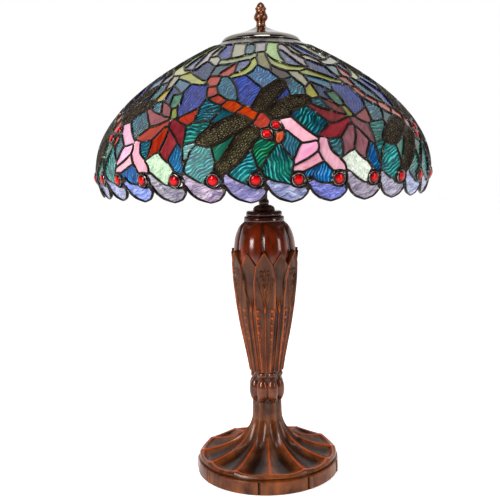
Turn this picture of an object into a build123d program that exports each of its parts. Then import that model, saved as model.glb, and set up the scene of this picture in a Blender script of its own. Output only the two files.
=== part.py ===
"""Stained glass table lamp: leaded dome shade on a cast foot and stem, two bulbs inside.

Millimetres, +Z up. The origin is the centre of the felt that the lamp stands on,
-Y is the front, and the two lampholders point along +X and -X.
"""
from build123d import *
import math
import os

# ---------------------------------------------------------------- driving dimensions
SHADE_R = 228.0            # largest radius of the leaded dome
DOME_TOP_R, DOME_TOP_Z = 50.0, 605.0
DOME_WIDE_Z = 429.0        # height at which the dome is widest
RIM_R, RIM_Z = 218.0, 398.0
GLASS_T = 3.0
FOOT_R = 101.8
FOOT_TOP_Z = 100.0
COLLAR_TOP_Z = 147.0
VASE_TOP_Z = 283.0
LEAF_NOTCH_Z, LEAF_TIP_Z = 301.0, 320.5
BUD_TOP_Z = 358.5
PLATE_TOP_Z = 366.5        # neck plate on the bud
RING_TOP_Z = 373.7         # neck ring on the plate
CONE_TOP_Z = 389.5
LAMP_TOP_Z = 656.5

PIPE_R = 5.0               # threaded lamp pipe
PIPE_BORE_R = 3.3
PIPE_HOLE_R = 5.1          # hole of each part that is stacked on the pipe
RISER_R = 4.8              # riser from the cluster up to the finial

REPEATS = 6                # the glass pattern repeats every 60 degrees
SCALLOPS = 30
SKIRT_PANELS = 9           # upright panels round the foot
SKIRT_SEAM = -96.0         # angle of one of the seams between them
RIM_GEM_R = 6.8
EYE_GEM_R = 5.8

FELT_T = 1.5
PLATE_T = 2.0
CAVITY_R = 90.0            # hollow under the foot
INLET_R, INLET_Z = 3.4, 8.5
CLUSTER_LOW_Z, CLUSTER_TOP_Z = 450.0, 486.0
SOCKET_Z = 468.0           # height of the two lampholders
SOCKET_R = 19.0
SOCKET_START, SOCKET_END = 34.0, 76.0
KNOB_X = 46.0
SPINDLE_R = 1.6
BULB_BASE_R = 13.0
BULB_R = 30.0
BULB_END = 158.0
SEAT_TOP_Z = 598.0
CAP_TOP_Z = 624.0
COLLAR_LOW_Z = 624.3
FINIAL_LOW_Z = 629.3
RUN = 0.3                  # gap between bodies that move apart
FIT = 0.05                 # radial clearance of a running fit

os.makedirs("parts", exist_ok=True)


# ---------------------------------------------------------------- helpers
def at(r, z):
    """A point of a half section, at radius r and height z."""
    return (r, 0, z)


def turned(*corners):
    """Turn a half section with straight sides, given as (r, z) corners."""
    outline = Polyline(*[at(r, z) for r, z in corners], close=True)
    return revolve(make_face(outline), Axis.Z)


def turned_curve(points, inner_r):
    """Turn a smooth outer line from the lowest to the highest point, around a bore."""
    line = Spline(*[at(r, z) for r, z in points])
    (r0, z0), (r1, z1) = points[0], points[-1]
    back = Polyline(at(r1, z1), at(inner_r, z1), at(inner_r, z0), at(r0, z0))
    return revolve(make_face(line.edges() + back.edges()), Axis.Z)


def rod(radius, z0, z1, x=0.0, y=0.0):
    return Pos(x, y, (z0 + z1) / 2) * Cylinder(radius, z1 - z0)


def hex_nut(across_flats, z0, z1, hole_r):
    body = extrude(Pos(0, 0, z0) * RegularPolygon(across_flats / 2, 6, major_radius=False), z1 - z0)
    return body - rod(hole_r, z0 - 1, z1 + 1)


def around(shape, count, first=0.0):
    """Copies of a shape, evenly spaced about the lamp's axis."""
    return [Rot(0, 0, first + 360.0 / count * i) * shape for i in range(count)]


def group(shapes):
    """One node made of separate solids."""
    return Compound(children=[solid for shape in shapes for solid in shape.solids()])


def save(name, shape):
    export_step(shape if isinstance(shape, Compound) else Compound(children=shape.solids()),
                os.path.join("parts", name + ".step"))


# ---------------------------------------------------------------- foot and its inside
def felt_pad():
    return rod(FOOT_R - 2.5, 0, FELT_T)


def cover_plate():
    return rod(CAVITY_R - 0.5, FELT_T, FELT_T + PLATE_T)


def base_weight():
    low = FELT_T + PLATE_T
    return rod(78, low, low + 10) - rod(32, low - 1, low + 11)


def foot_casting():
    """A round foot: upright skirt, stepped rim and a hollow flare that rises to the waist."""
    skirt = [(CAVITY_R, FELT_T), (FOOT_R - 1, FELT_T), (FOOT_R, 3), (FOOT_R, 14),
             (FOOT_R - 2, 17), (FOOT_R - 3.5, 25), (97.6, 28), (95, 29)]
    flare = Bezier(at(95, 29), at(62, 31), at(22, 46), at(22, 84))
    waist = [(22, 84), (21.8, FOOT_TOP_Z), (PIPE_HOLE_R, FOOT_TOP_Z), (PIPE_HOLE_R, 50), (15, 50)]
    hollow = Bezier(at(15, 50), at(18, 36), at(40, 24), at(CAVITY_R, 16))
    edges = [Polyline(*[at(r, z) for r, z in skirt]), flare,
             Polyline(*[at(r, z) for r, z in waist]), hollow,
             Line(at(CAVITY_R, 16), at(CAVITY_R, FELT_T))]
    foot = revolve(make_face([e for line in edges for e in line.edges()]), Axis.Z)
    groove = Pos(FOOT_R, 0, 8) * Box(1.6, 2.0, 12)
    for cut in around(groove, SKIRT_PANELS, first=SKIRT_SEAM):
        foot -= cut
    return foot - inlet_cylinder(4.2, CAVITY_R - 10, FOOT_R + 5)


def inlet_cylinder(radius, y0, y1):
    """A cylinder along +Y at the back of the skirt, where a mains lead would enter."""
    return Pos(0, (y0 + y1) / 2, INLET_Z) * Rot(90, 0, 0) * Cylinder(radius, y1 - y0)


def cord_bushing():
    sleeve = inlet_cylinder(4.2, CAVITY_R - 2, FOOT_R + 0.2)
    flange = inlet_cylinder(5.6, FOOT_R + 0.2, FOOT_R + 2.2)
    return sleeve + flange - inlet_cylinder(INLET_R, CAVITY_R - 5, FOOT_R + 5)


def pipe_washer():
    return rod(12, 48, 50) - rod(PIPE_HOLE_R, 47, 51)


def pipe_nut():
    return hex_nut(16, 41, 48, PIPE_R)


# ---------------------------------------------------------------- stem

def lamp_pipe():
    return rod(PIPE_R, 38, CLUSTER_LOW_Z + 6) - rod(PIPE_BORE_R, 37, CLUSTER_LOW_Z + 7)


def internal_leads():
    """Two insulated wires, straight up the pipe from the foot to the cluster."""
    return group([rod(1.1, 30, CLUSTER_LOW_Z + 9, x=side * 1.5) for side in (-1, 1)])


def bud_collar():
    """A ring of eight buds: a drop below, a small knob above."""
    core = turned((PIPE_HOLE_R, FOOT_TOP_Z), (19.5, FOOT_TOP_Z), (21.5, 118), (19.5, 131),
                  (22.5, COLLAR_TOP_Z), (PIPE_HOLE_R, COLLAR_TOP_Z))
    drop = Pos(18.5, 0, 114.5) * scale(Sphere(8), by=(1.0, 0.95, 1.8))
    knob = Pos(18, 0, 137.5) * Sphere(7)
    trim = rod(40, FOOT_TOP_Z, COLLAR_TOP_Z) - rod(PIPE_HOLE_R, 90, 160)
    ring = core
    for bud in around(drop + knob, 8, first=-90 + 20.5):
        ring += bud
    return ring & trim


def leaf_vase():
    """A slender vase of twelve upright leaves whose tips stand round the bud."""
    line = [(22.9, COLLAR_TOP_Z), (28.6, 178), (35.6, 216), (41.0, 254), (44.4, VASE_TOP_Z)]
    body = turned_curve(line, PIPE_HOLE_R)
    wall = turned_curve([(44.4, VASE_TOP_Z), (45.4, 296), (46.6, 308), (47.4, LEAF_TIP_Z)], 44.3)
    wall = wall - rod(44.3, VASE_TOP_Z - 1, LEAF_TIP_Z + 1)
    half = 12
    tip = Polyline((-half, 0, VASE_TOP_Z), (half, 0, VASE_TOP_Z), (half, 0, LEAF_NOTCH_Z),
                   (0, 0, LEAF_TIP_Z), (-half, 0, LEAF_NOTCH_Z), close=True)
    point = extrude(Pos(0, -38, 0) * make_face(tip), 12, dir=(0, -1, 0))
    for one in around(point & wall, 12, first=-1):
        body += one
    return body


def bud():
    line = [(43.4, VASE_TOP_Z), (44.0, 300), (43.6, 322), (41.4, 336), (36.8, 348),
            (28.5, BUD_TOP_Z)]
    return turned_curve(line, PIPE_HOLE_R)


def neck_plate():
    low, high = BUD_TOP_Z, PLATE_TOP_Z
    return turned((PIPE_HOLE_R, low), (26, low), (27.4, low + 2), (27.4, high - 2), (25.8, high),
                  (PIPE_HOLE_R, high))


def neck_ring():
    low, high = PLATE_TOP_Z, RING_TOP_Z
    return turned((PIPE_HOLE_R, low), (23.6, low), (24.8, low + 1.4), (24.8, high - 1.4),
                  (23.8, high), (PIPE_HOLE_R, high))


def neck_cone():
    """Two small beads, one over the other, that end the stem round the pipe."""
    lower = turned_curve([(15.0, RING_TOP_Z), (15.2, 376.5), (12.6, 379.6), (7.4, 382)], PIPE_HOLE_R)
    upper = turned_curve([(6.2, 382), (7.3, 385.4), (5.8, CONE_TOP_Z)], PIPE_HOLE_R)
    return lower + upper


# ---------------------------------------------------------------- cluster and lampholders
def cluster_nut():
    return hex_nut(16, CLUSTER_LOW_Z - 5, CLUSTER_LOW_Z, PIPE_R)


def cluster_body():
    """The hollow turned body that carries the holders, with the riser screwed in its top."""
    shell = turned((PIPE_R, CLUSTER_LOW_Z), (16, CLUSTER_LOW_Z), (21, 455), (21, 480),
                   (12, CLUSTER_TOP_Z), (RISER_R, CLUSTER_TOP_Z), (RISER_R, 479), (17, 479),
                   (17, 457), (PIPE_R, 457))
    arm = Rot(0, 90, 0) * Cylinder(5, 80)
    return shell - Pos(0, 0, SOCKET_Z) * arm


def along_x(side, shape):
    """Move a part turned about Z so that it points along +X or -X at the holders' height."""
    return Pos(0, 0, SOCKET_Z) * Rot(0, 90 * side, 0) * shape


def socket_cap(side):
    cap = turned((3.2, 16.5), (4.8, 16.5), (4.8, 22), (10, 22), (SOCKET_R, 30),
                 (SOCKET_R, SOCKET_START), (3.2, SOCKET_START))
    return along_x(side, cap)


def spindle_hole(side, radius):
    return rod(radius, SOCKET_Z - 40, SOCKET_Z - 8, x=side * KNOB_X)


def socket_shell(side):
    """The outer shell, the insulator inside it and the hole for the switch spindle."""
    shell = rod(SOCKET_R, SOCKET_START, SOCKET_END) - rod(15.1, 50, SOCKET_END + 1)
    return along_x(side, shell) - spindle_hole(side, SPINDLE_R + FIT)


def screw_shell(side):
    """The threaded brass sleeve that takes the bulb."""
    sleeve = rod(15.1, 50, SOCKET_END - 2) - rod(BULB_BASE_R + FIT, 51, SOCKET_END)
    return along_x(side, sleeve)


def switch_knob(side):
    """A paddle key on its spindle, below the holder."""
    spindle = rod(SPINDLE_R, SOCKET_Z - 30, SOCKET_Z - 10, x=side * KNOB_X)
    paddle = Pos(side * KNOB_X, 0, SOCKET_Z - 35) * fillet(Box(15, 5, 12).edges(), 2)
    hub = rod(3.5, SOCKET_Z - 30, SOCKET_Z - 22, x=side * KNOB_X)
    return paddle + spindle + hub


def bulb_cap(side):
    cap = turned((0, 52), (5, 52), (9, 55), (BULB_BASE_R, 57), (BULB_BASE_R, 79),
                 (11.6, 79), (11.6, 60), (0, 60))
    return along_x(side, cap)


def bulb_glass(side):
    """A thin pear-shaped envelope, closed at the cap."""
    wall = 1.0
    neck, widest = 79.0, BULB_END - BULB_R
    outer = [Bezier(at(13, neck), at(15, 96), at(BULB_R, 108), at(BULB_R, widest)),
             CenterArc((0, 0, widest), BULB_R, 0, 90)]
    inner_r = BULB_R - wall
    inner = [Bezier(at(12, neck + wall), at(14, 96), at(inner_r, 108), at(inner_r, widest)),
             CenterArc((0, 0, widest), inner_r, 0, 90)]
    return along_x(side, half_turn_shell(outer, neck) - half_turn_shell(inner, neck + wall))


def half_turn_shell(lines, low):
    """A closed solid from a flat base up a curve to a round end on the axis."""
    curve, arc = lines
    end_z = arc.arc_center.Z
    radius = arc.radius
    body = make_face(curve.edges() + Polyline(at(radius, end_z), at(0, end_z), at(0, low),
                                              curve @ 0).edges())
    dome = Pos(0, 0, end_z) * Sphere(radius) & Pos(0, 0, end_z + 50) * Box(200, 200, 100)
    return revolve(body, Axis.Z) + dome


# ---------------------------------------------------------------- riser and shade seat

def riser():
    return rod(RISER_R, 480, 643)


def seat_nut():
    return hex_nut(16, SEAT_TOP_Z - 9, SEAT_TOP_Z - 3, RISER_R)


def shade_seat():
    return rod(38, SEAT_TOP_Z - 3, SEAT_TOP_Z) - rod(RISER_R, SEAT_TOP_Z - 4, SEAT_TOP_Z + 1)


# ---------------------------------------------------------------- shade
def dome_lines(inset):
    """The dome's half section in two curves, moved inwards by the inset."""
    slope = math.atan2(34, 72)
    dr, dz = -inset * math.sin(slope), -inset * math.cos(slope)
    upper = Bezier(at(DOME_TOP_R + dr, DOME_TOP_Z + dz), at(122 + dr, 571 + dz),
                   at(SHADE_R - inset, 513), at(SHADE_R - inset, DOME_WIDE_Z))
    lower = Bezier(at(SHADE_R - inset, DOME_WIDE_Z), at(SHADE_R - inset, 419),
                   at(222 - inset, 402), at(RIM_R - inset, RIM_Z))
    return upper, lower


def strip(curve_out, curve_in, start, end):
    """The half section of a band of glass between two places along the dome's curve."""
    out, back = curve_out.trim(start, end), curve_in.trim(start, end)
    ends = [Line(out @ 0, back @ 0), Line(out @ 1, back @ 1)]
    return make_face(out.edges() + back.edges() + ends[0].edges() + ends[1].edges())


# places along the upper curve: each band of panels with its number of panels, and the
# soldered rings above, between and below the bands
BANDS = {"crown": (0.02, 0.354, REPEATS), "shoulder": (0.366, 0.694, 2 * REPEATS),
         "skirt": (0.706, 0.985, 2 * REPEATS)}
RINGS = ((0.012, 0.02), (0.354, 0.366), (0.694, 0.706), (0.985, 1.0))
RIB_DEG = 1.0


def band_piece(start, end, degrees, first=0.0):
    """A piece of the dome's wall, from one place along the curve to the next."""
    face = strip(dome_lines(0)[0], dome_lines(GLASS_T)[0], start, end)
    return Rot(0, 0, first) * revolve(face, Axis.Z, degrees)


def panels(band):
    start, end, count = BANDS[band]
    return group(around(band_piece(start, end, 360.0 / count - RIB_DEG, RIB_DEG / 2), count))


def came_net():
    """The soldered rings between the bands, and the ribs between the panels of each band."""
    pieces = [band_piece(start, end, 360.0) for start, end in RINGS]
    for start, end, count in BANDS.values():
        pieces += around(band_piece(start, end, RIB_DEG, -RIB_DEG / 2), count)
    return group(pieces)


def rim_scallops():
    """Thirty half-moon tabs that hang side by side under the dome's widest line."""
    lower_out, lower_in = dome_lines(0)[1], dome_lines(GLASS_T)[1]
    pitch = 360.0 / SCALLOPS
    band = Rot(0, 0, -pitch / 2 + 0.15) * revolve(strip(lower_out, lower_in, 0, 1), Axis.Z,
                                                  pitch - 0.3)
    half_moon = 24.6
    round_end = Pos(SHADE_R - 5, 0, RIM_Z + half_moon) * Rot(0, 90, 0) * Cylinder(half_moon, 40)
    return group(around(band & round_end, SCALLOPS, first=-90 - 3.5))


def gem(radius, curve_index, where):
    """A round cabochon in a plain bezel, standing on the glass."""
    line = dome_lines(0)[curve_index]
    point, tangent = line @ where, line % where
    out = Plane(origin=point, x_dir=(0, 1, 0), z_dir=(-tangent.Z, 0, tangent.X))
    flat_top = scale(Sphere(radius), by=(1, 1, 0.62)) & Pos(0, 0, 20.15) * Box(40, 40, 40)
    ring = Pos(0, 0, 0.95) * (Cylinder(radius + 1.6, 1.8) - Cylinder(radius + 0.02, 3))
    return out * flat_top, out * ring


def gems_and_bezels(radius, curve_index, where, count, azimuths):
    stone, ring = gem(radius, curve_index, where)
    stones, rings = [], []
    for azimuth in azimuths:
        stones += around(stone, count, first=azimuth - 90)
        rings += around(ring, count, first=azimuth - 90)
    return stones, rings


EYES = ((1.3, 0.79), (4.2, 0.745))     # azimuth and place along the dome of one pair of eyes


def all_gems():
    rim_stones, rim_rings = gems_and_bezels(RIM_GEM_R, 1, 0.12, SCALLOPS, [-2.4])
    eye_stones, eye_rings = [], []
    for azimuth, where in EYES:
        stones, rings = gems_and_bezels(EYE_GEM_R, 0, where, REPEATS, [azimuth])
        eye_stones += stones
        eye_rings += rings
    return group(rim_stones), group(rim_rings), group(eye_stones), group(eye_rings)


def crown_ring():
    return rod(51, 600.3, 603.4) - rod(45, 600, 604)


def crown_plate():
    """The perforated heat plate that rests on the seat."""
    plate = rod(48.5, SEAT_TOP_Z + RUN, 600.3) - rod(RISER_R + 0.5, 597, 602)
    for vent in around(Pos(26, 0, 599.5) * Cylinder(6, 5), 8):
        plate -= vent
    return plate


def vase_cap():
    """A spun brass cap, flared at the rim, that closes the top of the dome."""
    wall = 1.4
    hole = RISER_R + 0.5
    outer = Bezier(at(53, 604), at(40, 612), at(14, 614), at(8, CAP_TOP_Z))
    inner = Bezier(at(51.5, 603.9), at(39, 610.3), at(12.6, 612.2), at(6.6, CAP_TOP_Z - wall))
    ends = Polyline(outer @ 1, at(hole, CAP_TOP_Z), at(hole, CAP_TOP_Z - wall), inner @ 1)
    face = make_face(outer.edges() + ends.edges() + inner.edges() + Line(outer @ 0, inner @ 0).edges())
    return revolve(face, Axis.Z)


# ---------------------------------------------------------------- finial
def finial_collar():
    """A plain collar under the finial, over the top of the cap."""
    low, bore = COLLAR_LOW_Z, RISER_R + 0.2
    return turned((bore, low), (6.6, low), (6.6, low + 1.2), (6.0, low + 1.8), (6.0, FINIAL_LOW_Z),
                  (bore, FINIAL_LOW_Z))


def finial():
    line = [(6.0, FINIAL_LOW_Z), (6.4, 630.8), (8.2, 633.0), (9.45, 636.2), (8.4, 640.0),
            (6.6, 643.2), (6.8, 646.2)]
    lower = turned_curve(line, RISER_R + FIT)
    knob = turned((0, 644.5), (6.5, 644.5), (6.8, 646.2), (7.5, 647.0), (7.5, 648.6), (6.2, 649.4),
                  (5.3, 651.6), (3.4, 654.6), (1.2, LAMP_TOP_Z), (0, LAMP_TOP_Z))
    return lower + knob


# ---------------------------------------------------------------- write every node
def main():
    single = {
        "felt_pad": felt_pad, "cover_plate": cover_plate, "base_weight": base_weight,
        "foot_casting": foot_casting, "cord_bushing": cord_bushing, "pipe_washer": pipe_washer,
        "pipe_nut": pipe_nut, "lamp_pipe": lamp_pipe, "internal_leads": internal_leads,
        "bud_collar": bud_collar, "leaf_vase": leaf_vase, "bud": bud,
        "neck_plate": neck_plate, "neck_ring": neck_ring, "neck_cone": neck_cone,
        "cluster_nut": cluster_nut, "cluster_body": cluster_body, "riser": riser,
        "seat_nut": seat_nut, "shade_seat": shade_seat, "came_net": came_net,
        "rim_scallops": rim_scallops, "crown_ring": crown_ring, "crown_plate": crown_plate,
        "vase_cap": vase_cap, "finial_collar": finial_collar, "finial": finial,
    }
    for name, make in single.items():
        save(name, make())
    for band in BANDS:
        save(band + "_panels", panels(band))
    paired = {"socket_cap": socket_cap, "socket_shell": socket_shell, "screw_shell": screw_shell,
              "switch_knob": switch_knob, "bulb_cap": bulb_cap, "bulb_glass": bulb_glass}
    for name, make in paired.items():
        for side_name, side in (("right", 1), ("left", -1)):
            save(name + "_" + side_name, make(side))
    names = ("rim_gems", "rim_gem_bezels", "eye_gems", "eye_gem_bezels")
    for name, shape in zip(names, all_gems()):
        save(name, shape)


main()
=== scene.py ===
"""Looks of the stained glass table lamp: a leaded dome of flat cut glass on a moulded bronze stem."""
import math
import random

import bpy
import numpy as np
from mathutils import Euler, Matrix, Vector


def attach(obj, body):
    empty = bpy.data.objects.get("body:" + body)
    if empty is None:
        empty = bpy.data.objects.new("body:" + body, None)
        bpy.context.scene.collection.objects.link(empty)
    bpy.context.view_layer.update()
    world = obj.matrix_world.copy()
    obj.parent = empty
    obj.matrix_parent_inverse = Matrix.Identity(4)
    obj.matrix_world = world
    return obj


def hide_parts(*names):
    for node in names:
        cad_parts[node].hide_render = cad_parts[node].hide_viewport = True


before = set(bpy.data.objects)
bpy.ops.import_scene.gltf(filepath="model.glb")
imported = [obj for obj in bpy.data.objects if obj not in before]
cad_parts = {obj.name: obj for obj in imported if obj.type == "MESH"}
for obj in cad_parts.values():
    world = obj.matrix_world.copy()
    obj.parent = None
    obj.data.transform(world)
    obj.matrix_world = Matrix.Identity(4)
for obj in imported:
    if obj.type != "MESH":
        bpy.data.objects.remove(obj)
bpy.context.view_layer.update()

MM = 0.001
RNG = random.Random(11)

# ---------------------------------------------------------------- driving sizes, in millimetres
SHADE_R, WIDEST_Z = 228.0, 429.0
DOME_UPPER = ((50, 605), (122, 571), (SHADE_R, 513), (SHADE_R, WIDEST_Z))
DOME_LOWER = ((SHADE_R, WIDEST_Z), (SHADE_R, 419), (222, 402), (218, 398))
REPEATS = 6
AZ_STEP, S_STEP = 0.15, 0.6  # the chart's grid, in degrees round the dome and mm down it
SPAN = 60.0                 # degrees of one repeat of the glass pattern
DOMAIN = (-50.0, 54.0)      # degrees drawn, so that each piece of one repeat is whole
SEAM = -30.0                # where one repeat's came ends and the next begins
CAME_HALF = 1.45            # half the width of a soldered line
CAME_RISE = 2.4
CAME_MID = -1.5             # depth of the line's middle under the dome's surface
GLASS_TOP, GLASS_T = -0.7, 2.4
GLASS_INSET = 0.4           # from the middle of a line to the edge of the glass under it
WING_SUNK = 1.7             # how much lower the glass under the wings' filigree lies
EDGE_BLEND = 0.42           # how far from edge on the glass and came begin to mirror


# ---------------------------------------------------------------- small tools
def bezier(points, count):
    t = np.linspace(0, 1, count)[:, None]
    a, b, c, d = [np.array(p, float) for p in points]
    return (1 - t) ** 3 * a + 3 * (1 - t) ** 2 * t * b + 3 * (1 - t) * t * t * c + t ** 3 * d


def build_mesh(name, verts, faces, smooth=True):
    """A mesh from vertices in metres and faces that are lists or an array of vertex numbers."""
    mesh = bpy.data.meshes.new(name)
    if isinstance(faces, np.ndarray):
        count, sides = faces.shape
        mesh.vertices.add(len(verts))
        mesh.vertices.foreach_set("co", np.ascontiguousarray(verts, np.float32).ravel())
        mesh.loops.add(count * sides)
        mesh.loops.foreach_set("vertex_index", np.ascontiguousarray(faces, np.int32).ravel())
        mesh.polygons.add(count)
        mesh.polygons.foreach_set("loop_start", np.arange(0, count * sides, sides, dtype=np.int32))
        mesh.update(calc_edges=True)
        mesh.validate()
    else:
        mesh.from_pydata([tuple(v) for v in verts], [], [list(f) for f in faces])
        mesh.update()
    mesh.polygons.foreach_set("use_smooth", np.full(len(mesh.polygons), smooth))
    return mesh


def turned(verts, degrees):
    """The same points turned about the lamp's axis."""
    c, s = math.cos(math.radians(degrees)), math.sin(math.radians(degrees))
    return verts @ np.array([(c, s, 0), (-s, c, 0), (0, 0, 1)])


def joined(parts):
    """Parts given as (vertices, faces, a value at each vertex), put together as one."""
    verts, faces, values = [], [], []
    for part_verts, part_faces, part_values in parts:
        faces += [[i + len(verts) for i in face] for face in part_faces]
        verts += list(part_verts)
        values += list(part_values)
    return np.array(verts), faces, values


def place(name, mesh, body, material, replaces=()):
    piece = bpy.data.objects.new(name, mesh)
    bpy.context.scene.collection.objects.link(piece)
    if not mesh.materials:
        mesh.materials.append(material)
    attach(piece, body)
    if replaces:
        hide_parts(*replaces)
    return piece


def paint(mesh, name, kind, values):
    """Store a value at each vertex for the materials to read."""
    layer = mesh.attributes.new(name, kind, "POINT")
    key = {"FLOAT": "value", "FLOAT_VECTOR": "vector", "FLOAT_COLOR": "color"}[kind]
    layer.data.foreach_set(key, np.ascontiguousarray(values, np.float32).ravel())


def smoothstep(x, low, high):
    t = np.clip((x - low) / (high - low), 0, 1)
    return t * t * (3 - 2 * t)


# ---------------------------------------------------------------- materials
class Nodes:
    """Short names for building one material's nodes."""

    def __init__(self, name):
        self.material = bpy.data.materials.new(name)
        self.material.use_nodes = True
        self.tree = self.material.node_tree
        self.shader = self.tree.nodes["Principled BSDF"]

    def set(self, **values):
        names = {"rough": "Roughness", "metal": "Metallic", "coat": "Coat Weight",
                 "coat_rough": "Coat Roughness", "ior": "IOR", "specular": "Specular IOR Level",
                 "sheen": "Sheen Weight", "transmission": "Transmission Weight"}
        for key, value in values.items():
            self.shader.inputs[names[key]].default_value = value
        return self

    def add(self, kind, links=None, **settings):
        node = self.tree.nodes.new("ShaderNode" + kind)
        for key, value in settings.items():
            if key in node.inputs:
                node.inputs[key].default_value = value
            else:
                setattr(node, key, value)
        for socket, source in (links or {}).items():
            self.tree.links.new(source, node.inputs[socket])
        return node

    def attribute(self, name, output="Color"):
        return self.add("Attribute", attribute_name=name).outputs[output]

    def position(self):
        return self.add("TexCoord").outputs["Object"]

    def stretch(self, vector, scale):
        node = self.add("Mapping", {"Vector": vector})
        node.inputs["Scale"].default_value = scale
        return node.outputs["Vector"]

    def noise(self, vector, scale, detail=3.0, rough=0.5, distort=0.0):
        return self.add("TexNoise", {"Vector": vector}, Scale=scale, Detail=detail,
                        Roughness=rough, Distortion=distort).outputs["Fac"]

    def ramp(self, factor, *stops):
        node = self.add("ValToRGB", {"Fac": factor})
        band = node.color_ramp
        while len(band.elements) < len(stops):
            band.elements.new(0.5)
        for element, (place_on_ramp, value) in zip(band.elements, stops):
            element.position = place_on_ramp
            element.color = value if hasattr(value, "__len__") else (value, value, value, 1)
        return node.outputs["Color"]

    def mix(self, factor, a, b, blend="MIX"):
        node = self.add("Mix", data_type="RGBA", blend_type=blend)
        for socket, value in ((node.inputs[0], factor), (node.inputs[6], a), (node.inputs[7], b)):
            if isinstance(value, (int, float)):
                socket.default_value = value
            elif isinstance(value, tuple):
                socket.default_value = (*value, 1) if len(value) == 3 else value
            else:
                self.tree.links.new(value, socket)
        return node.outputs[2]

    def math(self, operation, a, b=0.0):
        node = self.add("Math", operation=operation)
        for socket, value in ((node.inputs[0], a), (node.inputs[1], b)):
            if isinstance(value, (int, float)):
                socket.default_value = value
            else:
                self.tree.links.new(value, socket)
        return node.outputs[0]

    def colour(self, source):
        self.tree.links.new(source, self.shader.inputs["Base Color"])
        return self

    def roughness(self, source):
        self.tree.links.new(source, self.shader.inputs["Roughness"])
        return self

    def warp(self, vector, scale, amount):
        """A slow sideways drift, to bend straight grain."""
        drift = self.add("TexNoise", {"Vector": vector}, Scale=scale, Detail=1.0).outputs["Color"]
        centred = self.add("VectorMath", {0: drift}, operation="SUBTRACT")
        centred.inputs[1].default_value = (0.5, 0.5, 0.5)
        scaled = self.add("VectorMath", {0: centred.outputs[0]}, operation="MULTIPLY")
        scaled.inputs[1].default_value = (amount, amount * 2, 0)
        return scaled.outputs[0]

    def bump(self, height, strength, distance=0.001):
        node = self.add("Bump", {"Height": height}, Strength=strength, Distance=distance)
        self.tree.links.new(node.outputs["Normal"], self.shader.inputs["Normal"])
        return self


def glass_material(name, streak, bump_scale, bump_strength, low, high, rough):
    """Opalescent sheet glass. The two tints and the grain of each piece are stored on its mesh."""
    m = Nodes(name)
    grain = m.attribute("grain", "Vector")
    wisps = m.noise(m.stretch(grain, streak), 1.0, 5.0, 0.6, 1.6)
    clouds = m.noise(grain, 0.06, 2.0, 0.5, 0.4)
    factor = m.ramp(m.math("ADD", m.math("MULTIPLY", wisps, 0.7), m.math("MULTIPLY", clouds, 0.3)),
                    (low, 0.0), (high, 1.0))
    m.colour(m.mix(factor, m.attribute("tint_a"), m.attribute("tint_b")))
    swell = m.noise(m.stretch(grain, bump_scale), 1.0, 2.0, 0.4, 0.9)
    m.bump(swell, bump_strength, 0.0012)
    return glazed(m, rough)


def edge_on_coat(m, power, strength, ior):
    """A clear coat that comes up where the face is seen edge on."""
    edge_on = m.add("LayerWeight", Blend=EDGE_BLEND).outputs["Facing"]
    m.tree.links.new(m.math("MULTIPLY", m.math("POWER", edge_on, power), strength),
                     m.shader.inputs["Coat Weight"])
    m.shader.inputs["Coat IOR"].default_value = ior


def glazed(m, rough):
    """A glossy face that turns to a mirror where it is seen edge on."""
    edge_on_coat(m, 1.45, 1.0, 4.0)
    m.set(rough=rough, specular=0.2, coat_rough=0.12)
    return m.material


def veined_glass():
    """Streaky glass with thin dark wavy lines drawn through it."""
    m = Nodes("veined_glass")
    grain = m.attribute("grain", "Vector")
    bent = m.add("VectorMath", {0: grain, 1: m.warp(grain, 0.07, 5.0)}, operation="ADD").outputs[0]
    clouds = m.noise(m.stretch(bent, (0.05, 0.14, 1.0)), 1.0, 3.0, 0.55, 0.8)
    threads = m.noise(m.stretch(bent, (0.055, 0.26, 1.0)), 1.0, 4.0, 0.6, 1.2)
    veins = m.ramp(threads, (0.455, 1.0), (0.495, 0.30), (0.52, 0.42), (0.56, 1.0))
    body = m.mix(m.ramp(clouds, (0.36, 0.0), (0.62, 1.0)), m.attribute("tint_a"), m.attribute("tint_b"))
    m.colour(m.mix(1.0, body, veins, "MULTIPLY"))
    m.bump(m.math("ADD", threads, m.math("MULTIPLY", clouds, 0.5)), 0.6, 0.0016)
    return glazed(m, 0.12)


def ripple_glass():
    """Glass rolled into waves, with two tints in the hollows and a lighter tint painted along some of the
    crests, partly the sheet's own streaks and partly painted highlight.
    """
    m = Nodes("ripple_glass")
    grain = m.attribute("grain", "Vector")
    bent = m.add("VectorMath", {0: m.stretch(grain, (0.10, 1.0, 1.0)),
                                1: m.warp(grain, 0.05, 7.0)}, operation="ADD").outputs[0]
    waves = m.add("TexWave", {"Vector": bent}, wave_type="BANDS", bands_direction="Y",
                  Scale=0.074, Distortion=1.6, Detail=2.0)
    crest = waves.outputs["Fac"]
    wisps = m.noise(m.stretch(grain, (0.06, 0.13, 1.0)), 1.0, 3.0, 0.6, 1.4)
    clouds = m.noise(grain, 0.075, 2.0, 0.5, 0.8)
    body = m.mix(m.ramp(clouds, (0.38, 0.0), (0.62, 1.0)), m.attribute("tint_a"), m.attribute("tint_c"))
    # partly painted highlight: the crests lean to the lighter tint_b, which also stands in for light caught
    # on the ripples
    factor = m.math("MULTIPLY", m.ramp(crest, (0.42, 0.0), (0.98, 1.0)),
                    m.ramp(wisps, (0.42, 0.08), (0.64, 1.0)))
    m.colour(m.mix(factor, body, m.attribute("tint_b")))
    m.bump(m.math("ADD", crest, m.math("MULTIPLY", wisps, 0.5)), 0.8, 0.0018)
    return glazed(m, 0.12)


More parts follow.
